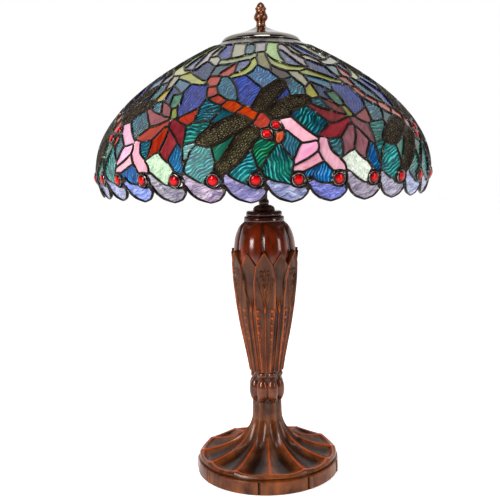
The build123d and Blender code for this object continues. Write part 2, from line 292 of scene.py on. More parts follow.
def came_material():
    m = Nodes("patina_solder")
    place_on = m.position()
    blotch = m.noise(place_on, 170.0, 4.0, 0.65)
    fine = m.noise(place_on, 900.0, 2.0, 0.5)
    dark, worn = (0.022, 0.016, 0.012), (0.42, 0.38, 0.33)
    m.colour(m.mix(m.ramp(blotch, (0.58, 0.0), (0.76, 1.0)), dark, worn))
    m.roughness(m.ramp(blotch, (0.3, 0.40), (0.7, 0.22)))
    m.bump(m.math("ADD", blotch, m.math("MULTIPLY", fine, 0.3)), 0.5, 0.0006)
    edge_on_coat(m, 2.0, 0.5, 2.2)
    m.set(metal=0.8, specular=0.5, coat_rough=0.2)
    return m.material


def gem_material():
    m = Nodes("ruby_cabochon")
    wisps = m.noise(m.position(), 160.0, 2.0, 0.5, 0.8)
    # painted light: the gem's middle, where the stored relief is high, is coloured bright red and its rim
    # dark
    stirred = m.math("ADD", m.attribute("relief", "Fac"),
                     m.math("MULTIPLY", m.math("SUBTRACT", wisps, 0.5), 0.9))
    middle = m.ramp(stirred, (0.35, 0.0), (0.75, 1.0))
    m.colour(m.mix(middle, (0.09, 0.0, 0.001), (0.52, 0.001, 0.004)))
    m.bump(wisps, 0.06, 0.0008)
    m.set(rough=0.05, specular=0.3)
    return m.material


def bronze_material(name, dark, mid, edge, rough, coat):
    """Rubbed bronze: brown on the faces, red-orange on worn ridges and painted highlights, and darkened by
    painted shade in the hollows and creases.
    """
    m = Nodes(name)
    place_on = m.position()
    blotch = m.noise(place_on, 30.0, 4.0, 0.6, 0.5)
    streak = m.noise(m.stretch(place_on, (120.0, 120.0, 22.0)), 1.0, 3.0, 0.6)
    fine = m.noise(place_on, 700.0, 2.0, 0.5)
    relief = m.attribute("relief", "Fac")
    base = m.mix(m.ramp(m.math("ADD", m.math("MULTIPLY", blotch, 0.7), m.math("MULTIPLY", streak, 0.3)),
                        (0.38, 0.0), (0.62, 1.0)), dark, mid)
    worn = m.ramp(m.math("ADD", relief, m.math("MULTIPLY", m.math("SUBTRACT", streak, 0.5), 0.5)),
                  (0.40, 0.0), (0.85, 1.0))
    # painted shade: the stored sunk value darkens the colour, down to 0.16 of it where the value is 1
    sunk = m.ramp(m.attribute("sunk", "Fac"), (0.0, 1.0), (1.0, 0.16))
    m.colour(m.mix(1.0, m.mix(worn, base, edge), sunk, "MULTIPLY"))
    m.roughness(m.ramp(blotch, (0.3, rough + 0.10), (0.7, rough - 0.06)))
    m.bump(m.math("ADD", m.math("MULTIPLY", streak, 0.5), m.math("MULTIPLY", fine, 0.2)), 0.16, 0.0006)
    m.set(specular=0.3, coat=coat, coat_rough=0.14)
    return m.material


def metal_material(name, dark, light, rough, scale=60.0, metal=1.0, coat=0.0, bump=0.1):
    m = Nodes(name)
    place_on = m.position()
    blotch = m.noise(place_on, scale, 3.0, 0.6)
    fine = m.noise(m.stretch(place_on, (250.0, 250.0, 900.0)), 1.0, 2.0, 0.5)
    m.colour(m.mix(m.ramp(blotch, (0.35, 0.0), (0.7, 1.0)), dark, light))
    m.roughness(m.ramp(blotch, (0.3, rough + 0.06), (0.7, max(rough - 0.05, 0.03))))
    m.bump(fine, bump, 0.0004)
    m.set(metal=metal, specular=0.5, coat=coat, coat_rough=0.05)
    return m.material


def felt_material():
    m = Nodes("green_felt")
    place_on = m.position()
    fibres = m.noise(place_on, 1500.0, 3.0, 0.7)
    patches = m.noise(place_on, 60.0, 2.0)
    m.colour(m.mix(m.math("MULTIPLY", fibres, patches), (0.008, 0.022, 0.014), (0.06, 0.11, 0.075)))
    m.bump(fibres, 0.8, 0.001)
    m.set(rough=0.95, sheen=0.5)
    return m.material


def envelope_material():
    """The bulb's frosted white envelope."""
    m = Nodes("frosted_envelope")
    veil = m.noise(m.position(), 45.0, 2.0)
    m.colour(m.mix(veil, (0.80, 0.80, 0.77), (0.92, 0.92, 0.90)))
    m.bump(m.noise(m.position(), 500.0), 0.05, 0.0005)
    m.set(rough=0.3, specular=0.5)
    return m.material


# ---------------------------------------------------------------- the dome's surface
profile = np.vstack([bezier(DOME_UPPER, 700), bezier(DOME_LOWER, 120)[1:]])
steps = np.linalg.norm(np.diff(profile, axis=0), axis=1)
ARC = np.concatenate([[0], np.cumsum(steps)])
slopes = np.gradient(profile, ARC, axis=0)


def dome_radius(s):
    return np.interp(s, ARC, profile[:, 0])


def on_dome(azimuth, s, height):
    """The point, in mm, at an azimuth in degrees and a distance s down the dome from its top edge."""
    tr, tz = np.interp(s, ARC, slopes[:, 0]), np.interp(s, ARC, slopes[:, 1])
    length = np.hypot(tr, tz)
    r = np.interp(s, ARC, profile[:, 0]) - height * tz / length
    z = np.interp(s, ARC, profile[:, 1]) + height * tr / length
    turn = np.radians(azimuth)
    return np.stack([r * np.sin(turn), -r * np.cos(turn), z], axis=-1)


# ---------------------------------------------------------------- colours of the cut glass
# two tints of the sheet, and its kind
SHEETS = {
    "cobalt": ((0.004, 0.009, 0.14), (0.03, 0.12, 0.52), "ripple"),
    "deep_blue": ((0.005, 0.010, 0.09), (0.04, 0.10, 0.30), "ripple"),
    "sky": ((0.006, 0.045, 0.15), (0.10, 0.36, 0.62), "ripple"),
    "steel": ((0.014, 0.07, 0.12), (0.09, 0.27, 0.36), "ripple"),
    "teal": ((0.0, 0.030, 0.042), (0.04, 0.46, 0.45), "ripple"),
    "turquoise": ((0.0, 0.050, 0.070), (0.08, 0.60, 0.58), "ripple"),
    "cyan": ((0.0, 0.04, 0.13), (0.04, 0.38, 0.66), "ripple"),
    "dark_teal": ((0.002, 0.03, 0.045), (0.01, 0.10, 0.12), "wispy"),
    "navy_granite": ((0.008, 0.012, 0.055), (0.16, 0.20, 0.36), "granite"),
    "indigo": ((0.008, 0.045, 0.10), (0.035, 0.16, 0.24), "granite"),
    "emerald": ((0.004, 0.055, 0.035), (0.04, 0.20, 0.11), "granite"),
    "bright_green": ((0.15, 0.32, 0.06), (0.30, 0.48, 0.16), "wispy"),
    "green": ((0.004, 0.07, 0.04), (0.02, 0.20, 0.13), "streaky"),
    "striped_green": ((0.003, 0.09, 0.02), (0.05, 0.46, 0.36), "ripple"),
    "olive": ((0.09, 0.095, 0.008), (0.22, 0.22, 0.045), "wispy"),
    "lime": ((0.17, 0.20, 0.015), (0.33, 0.36, 0.07), "wispy"),
    "sage": ((0.16, 0.18, 0.10), (0.29, 0.31, 0.18), "wispy"),
    "pale": ((0.24, 0.25, 0.18), (0.38, 0.38, 0.28), "wispy"),
    "mauve_grey": ((0.19, 0.16, 0.155), (0.32, 0.28, 0.27), "wispy"),
    "yellow": ((0.20, 0.15, 0.004), (0.38, 0.30, 0.02), "wispy"),
    "umber": ((0.012, 0.005, 0.003), (0.035, 0.016, 0.009), "wispy"),
    "rust": ((0.19, 0.007, 0.001), (0.46, 0.040, 0.003), "streaky"),
    "wine": ((0.17, 0.005, 0.002), (0.38, 0.028, 0.003), "streaky"),
    "orange": ((0.34, 0.020, 0.001), (0.60, 0.10, 0.003), "streaky"),
    "pink": ((0.66, 0.27, 0.37), (0.86, 0.50, 0.58), "wispy"),
    "petal_maroon": ((0.13, 0.008, 0.012), (0.28, 0.045, 0.055), "wispy"),
    "petal_red": ((0.24, 0.004, 0.002), (0.40, 0.05, 0.012), "wispy"),
    "petal_mauve": ((0.22, 0.06, 0.08), (0.38, 0.19, 0.21), "wispy"),
    "jade": ((0.26, 0.36, 0.28), (0.58, 0.66, 0.56), "granite"),
    "periwinkle": ((0.08, 0.12, 0.38), (0.24, 0.31, 0.64), "veined"),
    "lilac": ((0.15, 0.17, 0.36), (0.42, 0.44, 0.66), "veined"),
    "lilac_pink": ((0.17, 0.13, 0.23), (0.46, 0.40, 0.50), "veined"),
    "petal_front": ((0.13, 0.008, 0.012), (0.28, 0.045, 0.055), "wispy"),
    "petal_dusk": ((0.22, 0.06, 0.08), (0.38, 0.19, 0.21), "wispy"),
    "wing": ((0.30, 0.28, 0.13), (0.55, 0.53, 0.36), "wispy"),
}
HOLLOW_TINTS = {"teal": (0.0, 0.07, 0.16), "turquoise": (0.0, 0.16, 0.12), "cyan": (0.0, 0.09, 0.28),
                "striped_green": (0.0, 0.10, 0.08), "sky": (0.01, 0.09, 0.22),
                "cobalt": (0.005, 0.02, 0.25), "steel": (0.015, 0.13, 0.17),
                "deep_blue": (0.01, 0.04, 0.12)}

# ---------------------------------------------------------------- the pattern of one repeat
# Each piece: the sheet it is cut from, the lie of its grain in degrees, and its corners as
# (azimuth in degrees, distance down the dome in mm). The lines between pieces are worked out.
DRAGONFLY = [
    ("rust", 80, [(-13.5, 91), (-16, 98), (-19, 112), (-18.6, 120), (-16, 118), (-13, 105)]),
    ("wine", 80, [(-21.6, 123), (-18.4, 121), (-18, 132), (-19, 140), (-21.4, 139)]),
    ("wine", 80, [(-21.2, 143), (-18.6, 142), (-17, 156), (-18.6, 160), (-20.6, 152)]),
    ("rust", 50, [(-18.4, 162), (-16, 158.5), (-12.7, 167), (-14, 172), (-16.8, 169)]),
    ("orange", 40, [(-13.4, 174), (-12, 168.5), (-7, 178), (-8.8, 185), (-11.5, 181)]),
    ("orange", 45, [(-8, 186), (-5.8, 179), (-2, 188), (-2.6, 195), (-5.6, 193)]),
    ("rust", 60, [(-1.8, 197), (-0.8, 190), (1.5, 194), (2.6, 200), (0.8, 207), (-1.2, 205)]),
    ("orange", 90, [(4.1, 214.5), (5.7, 213), (6.1, 221), (4.4, 224)]),
]
WINGS = [
    [(-2.2, 181), (-2.6, 172), (-1.2, 160), (0.8, 148), (4, 137), (8, 131.5), (9.2, 137),
     (8.4, 147), (5.5, 160), (2.6, 172), (0, 182)],
    [(2.2, 192), (2.8, 183), (5.4, 172), (9, 164), (13, 161), (16.4, 163), (16.4, 170),
     (13, 178), (9.2, 186), (6.6, 193), (4, 197)],
    [(-4.4, 199), (-5.4, 190.5), (-8.4, 190.5), (-12.2, 196), (-16.6, 206), (-19.6, 219),
     (-18.6, 226.5), (-15.6, 229), (-12, 222), (-8, 213), (-5.2, 205)],
    [(-2.2, 210), (-6, 213), (-9.3, 228), (-11.5, 243), (-13.6, 255), (-12.6, 260), (-10, 259),
     (-6.9, 247), (-3.8, 233), (-1.4, 220), (-0.6, 213)],
]
PINK_LOTUS = [
    ("pink", 60, [(4.6, 199), (7, 197), (10, 200), (12.5, 208), (15.6, 221), (12, 225), (9.6, 220),
                  (7, 208)]),
    ("pink", 20, [(10.6, 230), (15.2, 227.5), (15.6, 233), (13, 242), (9, 250.5), (9.2, 244)]),
    ("pink", 20, [(15.8, 240), (17.2, 248.5), (14, 254.5), (11, 258), (8.6, 258), (8.8, 254),
                  (13, 246)]),
    ("pink", 75, [(17.5, 224), (18.8, 225), (19.6, 236), (22, 246), (23.6, 252), (23.3, 257),
                  (20, 257), (18, 250), (16.7, 238)]),
]
RED_LOTUS = [
    ("petal_maroon", 60, [(15.8, 177.5), (22, 183), (27, 190), (27, 194), (23.6, 199), (20, 195)]),
    ("petal_maroon", 70, [(21.4, 166), (24, 168), (26.6, 180), (27.8, 188), (25.3, 188), (23, 180)]),
    ("petal_front", 30, [(17.2, 216), (22, 205), (26.8, 197.5), (28.2, 199), (26.6, 207), (24, 215),
                       (21, 219)]),
    ("petal_mauve", 85, [(27.6, 205), (29, 212), (29, 222), (27, 234), (24, 240), (24, 228),
                       (26, 214)]),
    ("petal_dusk", 100, [(30, 212), (33, 224), (32, 238), (31, 247), (29, 240), (28.4, 228)]),
    ("petal_dusk", 60, [(30, 198), (34, 202), (35.8, 212), (35.6, 226), (33.8, 220), (31.6, 208)]),
    ("petal_front", 130, [(32.4, 191), (38, 180), (38.2, 187), (36.6, 199), (34, 197.5)]),
    ("lime", 80, [(28, 177), (29.6, 179), (30.6, 188), (28.6, 189)]),
]
LOWER_GROUND = [
    ("jade", 60, [(23.5, 246), (27, 238), (32, 250), (33, 259), (31.5, 270), (30, 271), (26, 260)]),
    ("cyan", 60, [(34, 229), (35.7, 237), (36, 250), (35.5, 260), (33, 253), (31.6, 242)]),
    ("teal", 20, [(20, 226), (23, 223.5), (24, 231), (23, 241), (21, 236)]),
    ("cyan", 75, [(17, 250), (19.5, 258), (20, 270), (16, 274), (13, 266), (11, 262)]),
    ("teal", 60, [(10, 187), (14.6, 181), (19, 196), (19.4, 204), (16, 217), (13, 208),
                    (11, 198)]),
    ("teal", 45, [(17, 167), (20.6, 167.5), (23, 180), (22.6, 184), (19, 177.5)]),
    ("emerald", 60, [(24.4, 154), (28, 156), (29.6, 168), (28, 176), (25.6, 169)]),
    ("teal", 10, [(-19.6, 167), (-14.8, 175), (-15, 187), (-18, 195), (-21, 197), (-21.6, 185)]),
    ("dark_teal", 30, [(-13, 182), (-9.4, 189), (-12, 194), (-15.6, 204), (-14.5, 192)]),
    ("turquoise", 0, [(-23.6, 205), (-17.4, 199), (-17, 206), (-19.6, 217), (-21, 222),
                      (-23.6, 226)]),
    ("turquoise", 10, [(-20.6, 227), (-22, 232), (-23.6, 247), (-23.4, 228)]),
    ("turquoise", 35, [(-19.6, 231), (-15.6, 231.5), (-14.6, 250), (-14.8, 258), (-17.4, 268),
                       (-20, 265), (-22.4, 260), (-22, 248)]),
    ("green", 50, [(-14.4, 231), (-11, 225), (-9, 219), (-10.2, 230), (-12.8, 246)]),
    ("turquoise", 30, [(-3.8, 236), (-2.2, 254), (-3.4, 262), (-5, 270), (-9, 264), (-9.4, 258),
                       (-6, 248)]),
    ("striped_green", 20, [(-2.8, 230), (-0.2, 221), (2.8, 227), (0.6, 240), (-1.2, 252)]),
    ("turquoise", 100, [(5, 231), (8, 246), (7.6, 262), (7.2, 271), (2.4, 268), (0.4, 258), (2, 245)]),
    ("steel", 80, [(7.2, 214), (10.6, 226), (9.2, 240), (8.2, 243), (6, 231)]),
]
MIDDLE_GROUND = [
    ("teal", 70, [(10, 131), (13, 127), (15.8, 143), (15, 158), (10.4, 160)]),
    ("cobalt", 70, [(9.4, 147), (9.8, 158), (5.4, 168)]),
    ("steel", 60, [(-17.6, 125), (-14, 128), (-10.4, 145), (-9.3, 163), (-12.6, 163),
                   (-16.6, 148)]),
    ("cobalt", 60, [(-12, 128), (-6, 124), (-1.4, 140), (-1, 150), (-3.4, 172), (-6.2, 173),
                    (-8.4, 160), (-9.4, 145)]),
    ("sky", 60, [(-3.6, 112), (-2, 100), (1.4, 107), (6.4, 127), (3.6, 137), (0.8, 147),
                 (-3, 136), (-5.8, 122)]),
    ("cobalt", 75, [(-30.6, 139), (-27, 137), (-22.4, 140), (-21.6, 160), (-22.6, 177),
                    (-28, 189), (-30, 176)]),
    ("indigo", 30, [(19.4, 122), (27.2, 130), (28.4, 139), (26.8, 148), (20.6, 133)]),
    ("deep_blue", 60, [(20.6, 137), (24, 143), (26, 151), (23.6, 153), (25, 170), (22.4, 165),
                       (21, 154)]),
    ("sage", 85, [(12, 112), (16.8, 115), (18.4, 128), (17, 142), (15.2, 132)]),
    ("lime", 30, [(18, 116), (22, 110), (30, 121), (35.6, 137), (30, 133), (24, 124)]),
    ("yellow", 80, [(17.4, 147), (19.4, 141), (20.4, 157), (18, 164), (16.8, 159)]),
    ("umber", 60, [(5, 99), (8, 104), (11.6, 113), (11.6, 123), (8.4, 128), (5.4, 115)]),
]
UPPER_GROUND = [
    ("lime", 70, [(-4, 79), (-3, 90), (-5, 108), (-9, 119), (-13, 124), (-10.6, 113), (-7, 97)]),
    ("navy_granite", 50, [(-12, 88), (-8, 84), (-6.6, 92), (-8, 105), (-11, 112), (-13, 101)]),
    ("sage", 15, [(-4, 66), (-12, 73), (-22, 80), (-24, 88), (-12, 84), (-5, 76)]),
    ("olive", 85, [(-1.6, 63), (1, 62), (3, 84), (4, 106), (0.6, 101), (-1.8, 84)]),
    ("lime", 40, [(3.6, 68), (7, 87), (13, 99), (20, 103.5), (19, 107.5), (11, 109), (6, 97)]),
    ("bright_green", 75, [(4, 62), (5, 42), (8, 30), (14, 33), (11, 50), (11, 70), (12, 87),
                          (8, 82), (5, 72)]),
    ("navy_granite", 70, [(13.4, 56), (15.4, 57), (19, 79), (20.6, 96), (14.6, 93), (12.6, 77)]),
    ("mauve_grey", 70, [(16, 37), (20.6, 41), (22, 60), (25, 75), (24.4, 98), (20.6, 90),
                        (17.6, 68), (14.8, 48)]),
    ("sage", 80, [(22.4, 38), (26, 36), (25.4, 54), (26.4, 66), (22.8, 58)]),
    ("cobalt", 65, [(-34, 33), (-28.4, 35), (-24, 50), (-20.4, 71), (-20.6, 79), (-25, 72),
                    (-31, 52)]),
    ("pale", 70, [(-24, 31), (-14.4, 34), (-13, 50), (-13.4, 69), (-18, 74), (-20.6, 58)]),
    ("steel", 80, [(-12.6, 37), (-6.4, 35), (-6, 54), (-7.6, 63), (-11, 54)]),
    ("mauve_grey", 90, [(-4.8, 30), (2.6, 28), (2.4, 50), (0, 56), (-3.8, 58)]),
    ("pale", 40, [(-35.4, 69), (-29, 71), (-25.6, 84), (-25, 92), (-30, 84)]),
    ("deep_blue", 60, [(-35, 86), (-31, 83), (-26, 98), (-26, 124), (-31, 115), (-35.4, 104)]),
    ("dark_teal", 60, [(-23.6, 96), (-19, 97), (-15, 94), (-19.6, 112), (-20.4, 118), (-23, 112)]),
]
CROWN_BAND_S = 21.0                     # the solder band under the cap ends here
RIM_GEM_AT, RIM_GEM_S, RIM_GEM_R = -2.2, 268.0, 6.8
BEZEL = 1.2                             # width of the solder ring round a gem
GEM_RISE = 3.7
EYES = [(1.2, 216.0, 6.9), (4.0, 205.0, 6.7)]
EYE_BEZEL = 0.8
NOTCH_AT, PITCH = -22.8, 12.0
TIPS = (262.5, 261, 266, 263, 262)      # how high the pointed end of each scallop's glass reaches


def scallop_pieces():
    pieces = []
    for i, tip in enumerate(TIPS):
        a = NOTCH_AT + PITCH * i
        b = a + PITCH
        shape = [(a + 0.2, tip), (a + 1.6, tip + 3.5), (a + 4.6, 272.5), (a + 8, 277.5), (b - 0.5, 280.5),
                 (b - 0.6, 283), (b - 1.9, 290), (b - 4.2, 294.4), (a + 6, 294), (a + 3, 289.5),
                 (a + 0.9, 281), (a + 0.3, 272)]
        pieces.append((("lilac_pink", "lilac", "lilac", "periwinkle", "lilac_pink")[i], 18, shape))
    return pieces


def below_the_rim():
    """The outline of the scalloped edge, closed far below it: nothing is cut from there."""
    edge = []
    k = math.floor((DOMAIN[0] - 10 - NOTCH_AT) / PITCH)
    while NOTCH_AT + PITCH * k < DOMAIN[1] + 10:
        a = NOTCH_AT + PITCH * k
        edge += [(a, 277.5), (a + 1.2, 284), (a + 3.4, 290.4), (a + 7, 295.2), (a + 9.9, 291.4),
                 (a + 11.5, 284.5)]
        k += 1
    return edge + [(edge[-1][0], 340), (edge[0][0], 340)]


def above_the_crown():
    return [(DOMAIN[0] - 10, CROWN_BAND_S), (DOMAIN[0] - 10, -30), (DOMAIN[1] + 10, -30),
            (DOMAIN[1] + 10, CROWN_BAND_S)]


def disc(azimuth, s, radius, sides=20):
    turns = [2 * math.pi * i / sides for i in range(sides)]
    across = radius / math.radians(1) / dome_radius(s)
    return [(azimuth + across * math.cos(t), s + radius * math.sin(t)) for t in turns]


def rounded(points, per_side=7):
    """A smooth closed curve through the corners, which stays pointed at the sharp ones."""
    p = np.array(points, float)
    flat = np.column_stack([np.radians(p[:, 0]) * dome_radius(p[:, 1]), p[:, 1]])
    before, after = np.roll(flat, 1, 0) - flat, np.roll(flat, -1, 0) - flat
    cosine = (before * after).sum(1) / np.linalg.norm(before, axis=1) / np.linalg.norm(after, axis=1)
    sharp = cosine > -0.35
    curve = []
    t = np.linspace(0, 1, per_side, endpoint=False)[:, None]
    for i in range(len(p)):
        a, b = p[i], p[(i + 1) % len(p)]
        c, d = p[i - 1], p[(i + 2) % len(p)]
        tangent_a = (b - a) if sharp[i] else (b - c) / 2
        tangent_b = (b - a) if sharp[(i + 1) % len(p)] else (d - a) / 2
        curve.append((2 * t ** 3 - 3 * t ** 2 + 1) * a + (t ** 3 - 2 * t ** 2 + t) * tangent_a
                     + (3 * t ** 2 - 2 * t ** 3) * b + (t ** 3 - t ** 2) * tangent_b)
    return np.vstack(curve)


# ---------------------------------------------------------------- working out lines and pieces
class Chart:
    """A grid over the dome, with the distance in mm from each place to each piece."""

    def __init__(self, pieces, azimuths, downs, reach=26.0):
        self.az, self.s = np.meshgrid(azimuths, downs, indexing="ij")
        self.scale = np.radians(1) * dome_radius(downs)
        self.azimuths, self.downs = azimuths, downs
        self.nearest = np.full(self.az.shape, 1e3)
        self.second = np.full(self.az.shape, 1e3)
        self.label = np.full(self.az.shape, -1)
        self.fields = []
        for number, outline in enumerate(pieces):
            self.fields.append(self.measure(outline, reach))
            if self.fields[-1] is None:
                continue
            (rows, cols), d = self.fields[-1]
            near, second = self.nearest[rows, cols], self.second[rows, cols]
            label = self.label[rows, cols]
            closer = d < near
            self.second[rows, cols] = np.where(closer, near, np.minimum(second, d))
            self.label[rows, cols] = np.where(closer, number, label)
            self.nearest[rows, cols] = np.minimum(near, d)

    def measure(self, outline, reach):
        low, high = outline.min(0), outline.max(0)
        wide = reach / (np.radians(1) * dome_radius(max(low[1], 6.0)))
        rows = slice(np.searchsorted(self.azimuths, low[0] - wide),
                     np.searchsorted(self.azimuths, high[0] + wide))
        cols = slice(np.searchsorted(self.downs, low[1] - reach),
                     np.searchsorted(self.downs, high[1] + reach))
        if rows.start >= rows.stop or cols.start >= cols.stop:
            return None
        s = self.s[rows, cols]
        k = self.scale[cols][None, :]
        x = self.az[rows, cols] * k
        best = np.full(s.shape, 1e9)
        inside = np.zeros(s.shape, bool)
        for (a0, s0), (a1, s1) in zip(outline, np.roll(outline, -1, 0)):
            ax, bx = a0 * k, a1 * k
            dx, ds = bx - ax, s1 - s0
            t = np.clip(((x - ax) * dx + (s - s0) * ds) / (dx * dx + ds * ds + 1e-9), 0, 1)
            best = np.minimum(best, (x - ax - t * dx) ** 2 + (s - s0 - t * ds) ** 2)
            if s0 != s1:
                crosses = (s0 > s) != (s1 > s)
                inside ^= crosses & (x < ax + (s - s0) / (s1 - s0) * dx)
        return (rows, cols), np.where(inside, -1, 1) * np.sqrt(best)

    def margin(self, number):
        """Negative inside the cell of one piece, zero on the middle of its lines."""
        (rows, cols), d = self.fields[number]
        other = np.where(self.label[rows, cols] == number, self.second[rows, cols],
                         self.nearest[rows, cols])
        return (rows, cols), (d - other) / 2


def grid_triangles(rows, cols):
    index = np.arange(rows * cols).reshape(rows, cols)
    a, b, c, d = index[:-1, :-1], index[1:, :-1], index[1:, 1:], index[:-1, 1:]
    return np.vstack([np.stack([a, b, c], -1).reshape(-1, 3), np.stack([a, c, d], -1).reshape(-1, 3)])


def clip(triangles, value, data):
    """Cut triangles along value = 0 and keep the negative side; data holds a row per vertex."""
    inside = value < 0
    count = inside[triangles].sum(1)
    whole = triangles[count == 3]
    size = len(value)
    extra_keys = []

    def turned_to(mask, odd_one_inside):
        t = triangles[mask]
        flag = inside[t] if odd_one_inside else ~inside[t]
        first = flag.argmax(1)
        rows = np.arange(len(t))
        return t[rows, first], t[rows, (first + 1) % 3], t[rows, (first + 2) % 3]

    def cut(a, b):
        low, high = np.minimum(a, b), np.maximum(a, b)
        keys = low.astype(np.int64) * size + high
        extra_keys.append(keys)
        return keys

    a, b, c = turned_to(count == 1, True)
    ab, ac = cut(a, b), cut(a, c)
    p, q, r = turned_to(count == 2, False)
    pq, pr = cut(p, q), cut(p, r)
    keys = np.unique(np.concatenate(extra_keys))
    low, high = keys // size, keys % size
    t = (value[low] / (value[low] - value[high]))[:, None]
    new_data = data[low] * (1 - t) + data[high] * t

    def number(k):
        return size + np.searchsorted(keys, k)

    kept = np.vstack([whole, np.stack([a, number(ab), number(ac)], 1),
                      np.stack([number(pq), q, r], 1), np.stack([number(pq), r, number(pr)], 1)])
    everything = np.vstack([data, new_data])
    used, kept = np.unique(kept, return_inverse=True)
    return kept.reshape(-1, 3), everything[used]


def border_loop(triangles):
    """The longest closed border of a set of triangles, as vertex numbers in order."""
    edges = np.vstack([triangles[:, [0, 1]], triangles[:, [1, 2]], triangles[:, [2, 0]]])
    size = int(triangles.max()) + 1
    keys = edges[:, 0].astype(np.int64) * size + edges[:, 1]
    back = edges[:, 1].astype(np.int64) * size + edges[:, 0]
    border = edges[~np.isin(keys, back)]
    following = dict(map(tuple, border.tolist()))
    longest = []
    while following:
        start, here = following.popitem()
        loop = [start]
        while here != start and here in following:
            loop.append(here)
            here = following.pop(here)
        if len(loop) > len(longest):
            longest = loop
    return longest


def simplified(points, tolerance):
    """Fewer points along a closed line, none of them further from it than the tolerance."""
    points = np.asarray(points)
    far = int(np.linalg.norm(points - points[0], axis=1).argmax())
    keep = {0, far}
    stack = [(0, far), (far, len(points))]
    closed = np.vstack([points, points[:1]])
    while stack:
        i, j = stack.pop()
        if j - i < 2:
            continue
        a, b = closed[i], closed[j]
        run = b - a
        between = closed[i + 1:j] - a
        t = np.clip(between @ run / (run @ run + 1e-12), 0, 1)
        away = np.linalg.norm(between - t[:, None] * run, axis=1)
        worst = int(away.argmax())
        if away[worst] > tolerance:
            middle = i + 1 + worst
            keep.add(middle)
            stack += [(i, middle), (middle, j)]
    return points[sorted(keep)]


# ---------------------------------------------------------------- the shade
def all_pieces():
    """Every piece of one repeat as (kind, sheet, grain, outline)."""
    pieces = []
    groups = (DRAGONFLY, PINK_LOTUS, RED_LOTUS, LOWER_GROUND, MIDDLE_GROUND, UPPER_GROUND,
              scallop_pieces())
    for group in groups:
        pieces += [("glass", sheet, grain, rounded(corners)) for sheet, grain, corners in group]
    pieces += [("wing", "wing", 60, rounded(corners)) for corners in WINGS]
    for k in range(len(TIPS)):
        outline = disc(RIM_GEM_AT + PITCH * (k - 2), RIM_GEM_S, RIM_GEM_R + BEZEL)
        pieces.append(("gem", "", 0, np.array(outline)))
    pieces += [("gem", "", 0, np.array(disc(*eye))) for eye in EYES]
    return pieces


def make_shade():
    pieces = all_pieces()
    outlines = []
    for turn in (0, -SPAN, SPAN):
        outlines += [outline + (turn, 0) for _, _, _, outline in pieces]
    limits = [np.array(below_the_rim()), np.array(above_the_crown())]
    azimuths = SEAM + AZ_STEP * np.arange(*(round((end - SEAM) / AZ_STEP) for end in DOMAIN))
    downs = np.arange(0.0, 296.0, S_STEP)
    chart = Chart(outlines + limits, azimuths, downs)
    make_came(chart)
    make_glass(chart, pieces)
    make_gems(pieces)
    make_filigree(chart, pieces)


def make_came(chart):
    """The soldered lines of one repeat, rounded outside and inside, and six copies of them."""
    first = round((SEAM - chart.azimuths[0]) / AZ_STEP)
    rows = slice(first, first + round(SPAN / AZ_STEP) + 1)
    for side, step in (("outer", 1), ("inner", 2)):
        gap = ((chart.second - chart.nearest) / 2)[rows][::step, ::step]
        az, s = chart.az[rows][::step, ::step], chart.s[rows][::step, ::step]
        data = np.column_stack([az.ravel(), s.ravel(), gap.ravel()])
        triangles, data = clip(grid_triangles(*gap.shape), gap.ravel() - CAME_HALF, data)
        swell = np.sqrt(np.clip(1 - (data[:, 2] / CAME_HALF) ** 2, 0, 1))
        height = CAME_MID + CAME_RISE * swell * (1 if side == "outer" else -1)
        verts = on_dome(data[:, 0], data[:, 1], height) * MM
        faces = triangles if side == "inner" else triangles[:, ::-1]
        for k in range(REPEATS):
            mesh = build_mesh(f"came_{side}_{k + 1}", turned(verts, SPAN * k), faces)
            place(f"came_{side}_{k + 1}", mesh, "shade", CAME,
                  replaces=("came_net", "rim_gem_bezels", "eye_gem_bezels") if k == 0 else ())


def flat_piece(outline, grain, seed, sunk):
    """One flat piece of glass from its outline on the chart: vertices, faces, grain places."""
    rim = on_dome(outline[:, 0], outline[:, 1], GLASS_TOP)
    centre = rim.mean(0)
    _, _, axes = np.linalg.svd(rim - centre)
    normal = axes[2]
    if normal @ (centre - (0, 0, WIDEST_Z)) < 0:
        normal = -normal
    flat = rim - ((rim - centre) @ normal)[:, None] * normal - sunk * normal
    along = np.cross((0, 0, 1), normal)
    along /= np.linalg.norm(along)
    up = np.cross(normal, along)
    angle = math.radians(grain)
    u = (flat - centre) @ (along * math.cos(angle) + up * math.sin(angle))
    v = (flat - centre) @ (up * math.cos(angle) - along * math.sin(angle))
    n = len(flat)
    verts = np.vstack([flat, flat - GLASS_T * normal])
    faces = [list(range(n)), list(range(2 * n - 1, n - 1, -1))]
    faces += [[i, n + i, n + (i + 1) % n, (i + 1) % n] for i in range(n)]
    area = 0.5 * np.cross(flat, np.roll(flat, -1, 0)).sum(0) @ normal
    if area < 0:
        faces = [f[::-1] for f in faces]
    grain_at = np.column_stack([u + 37 * seed, v + 53 * seed, np.full(n, 19 * seed)])
    return verts, faces, np.vstack([grain_at, grain_at])


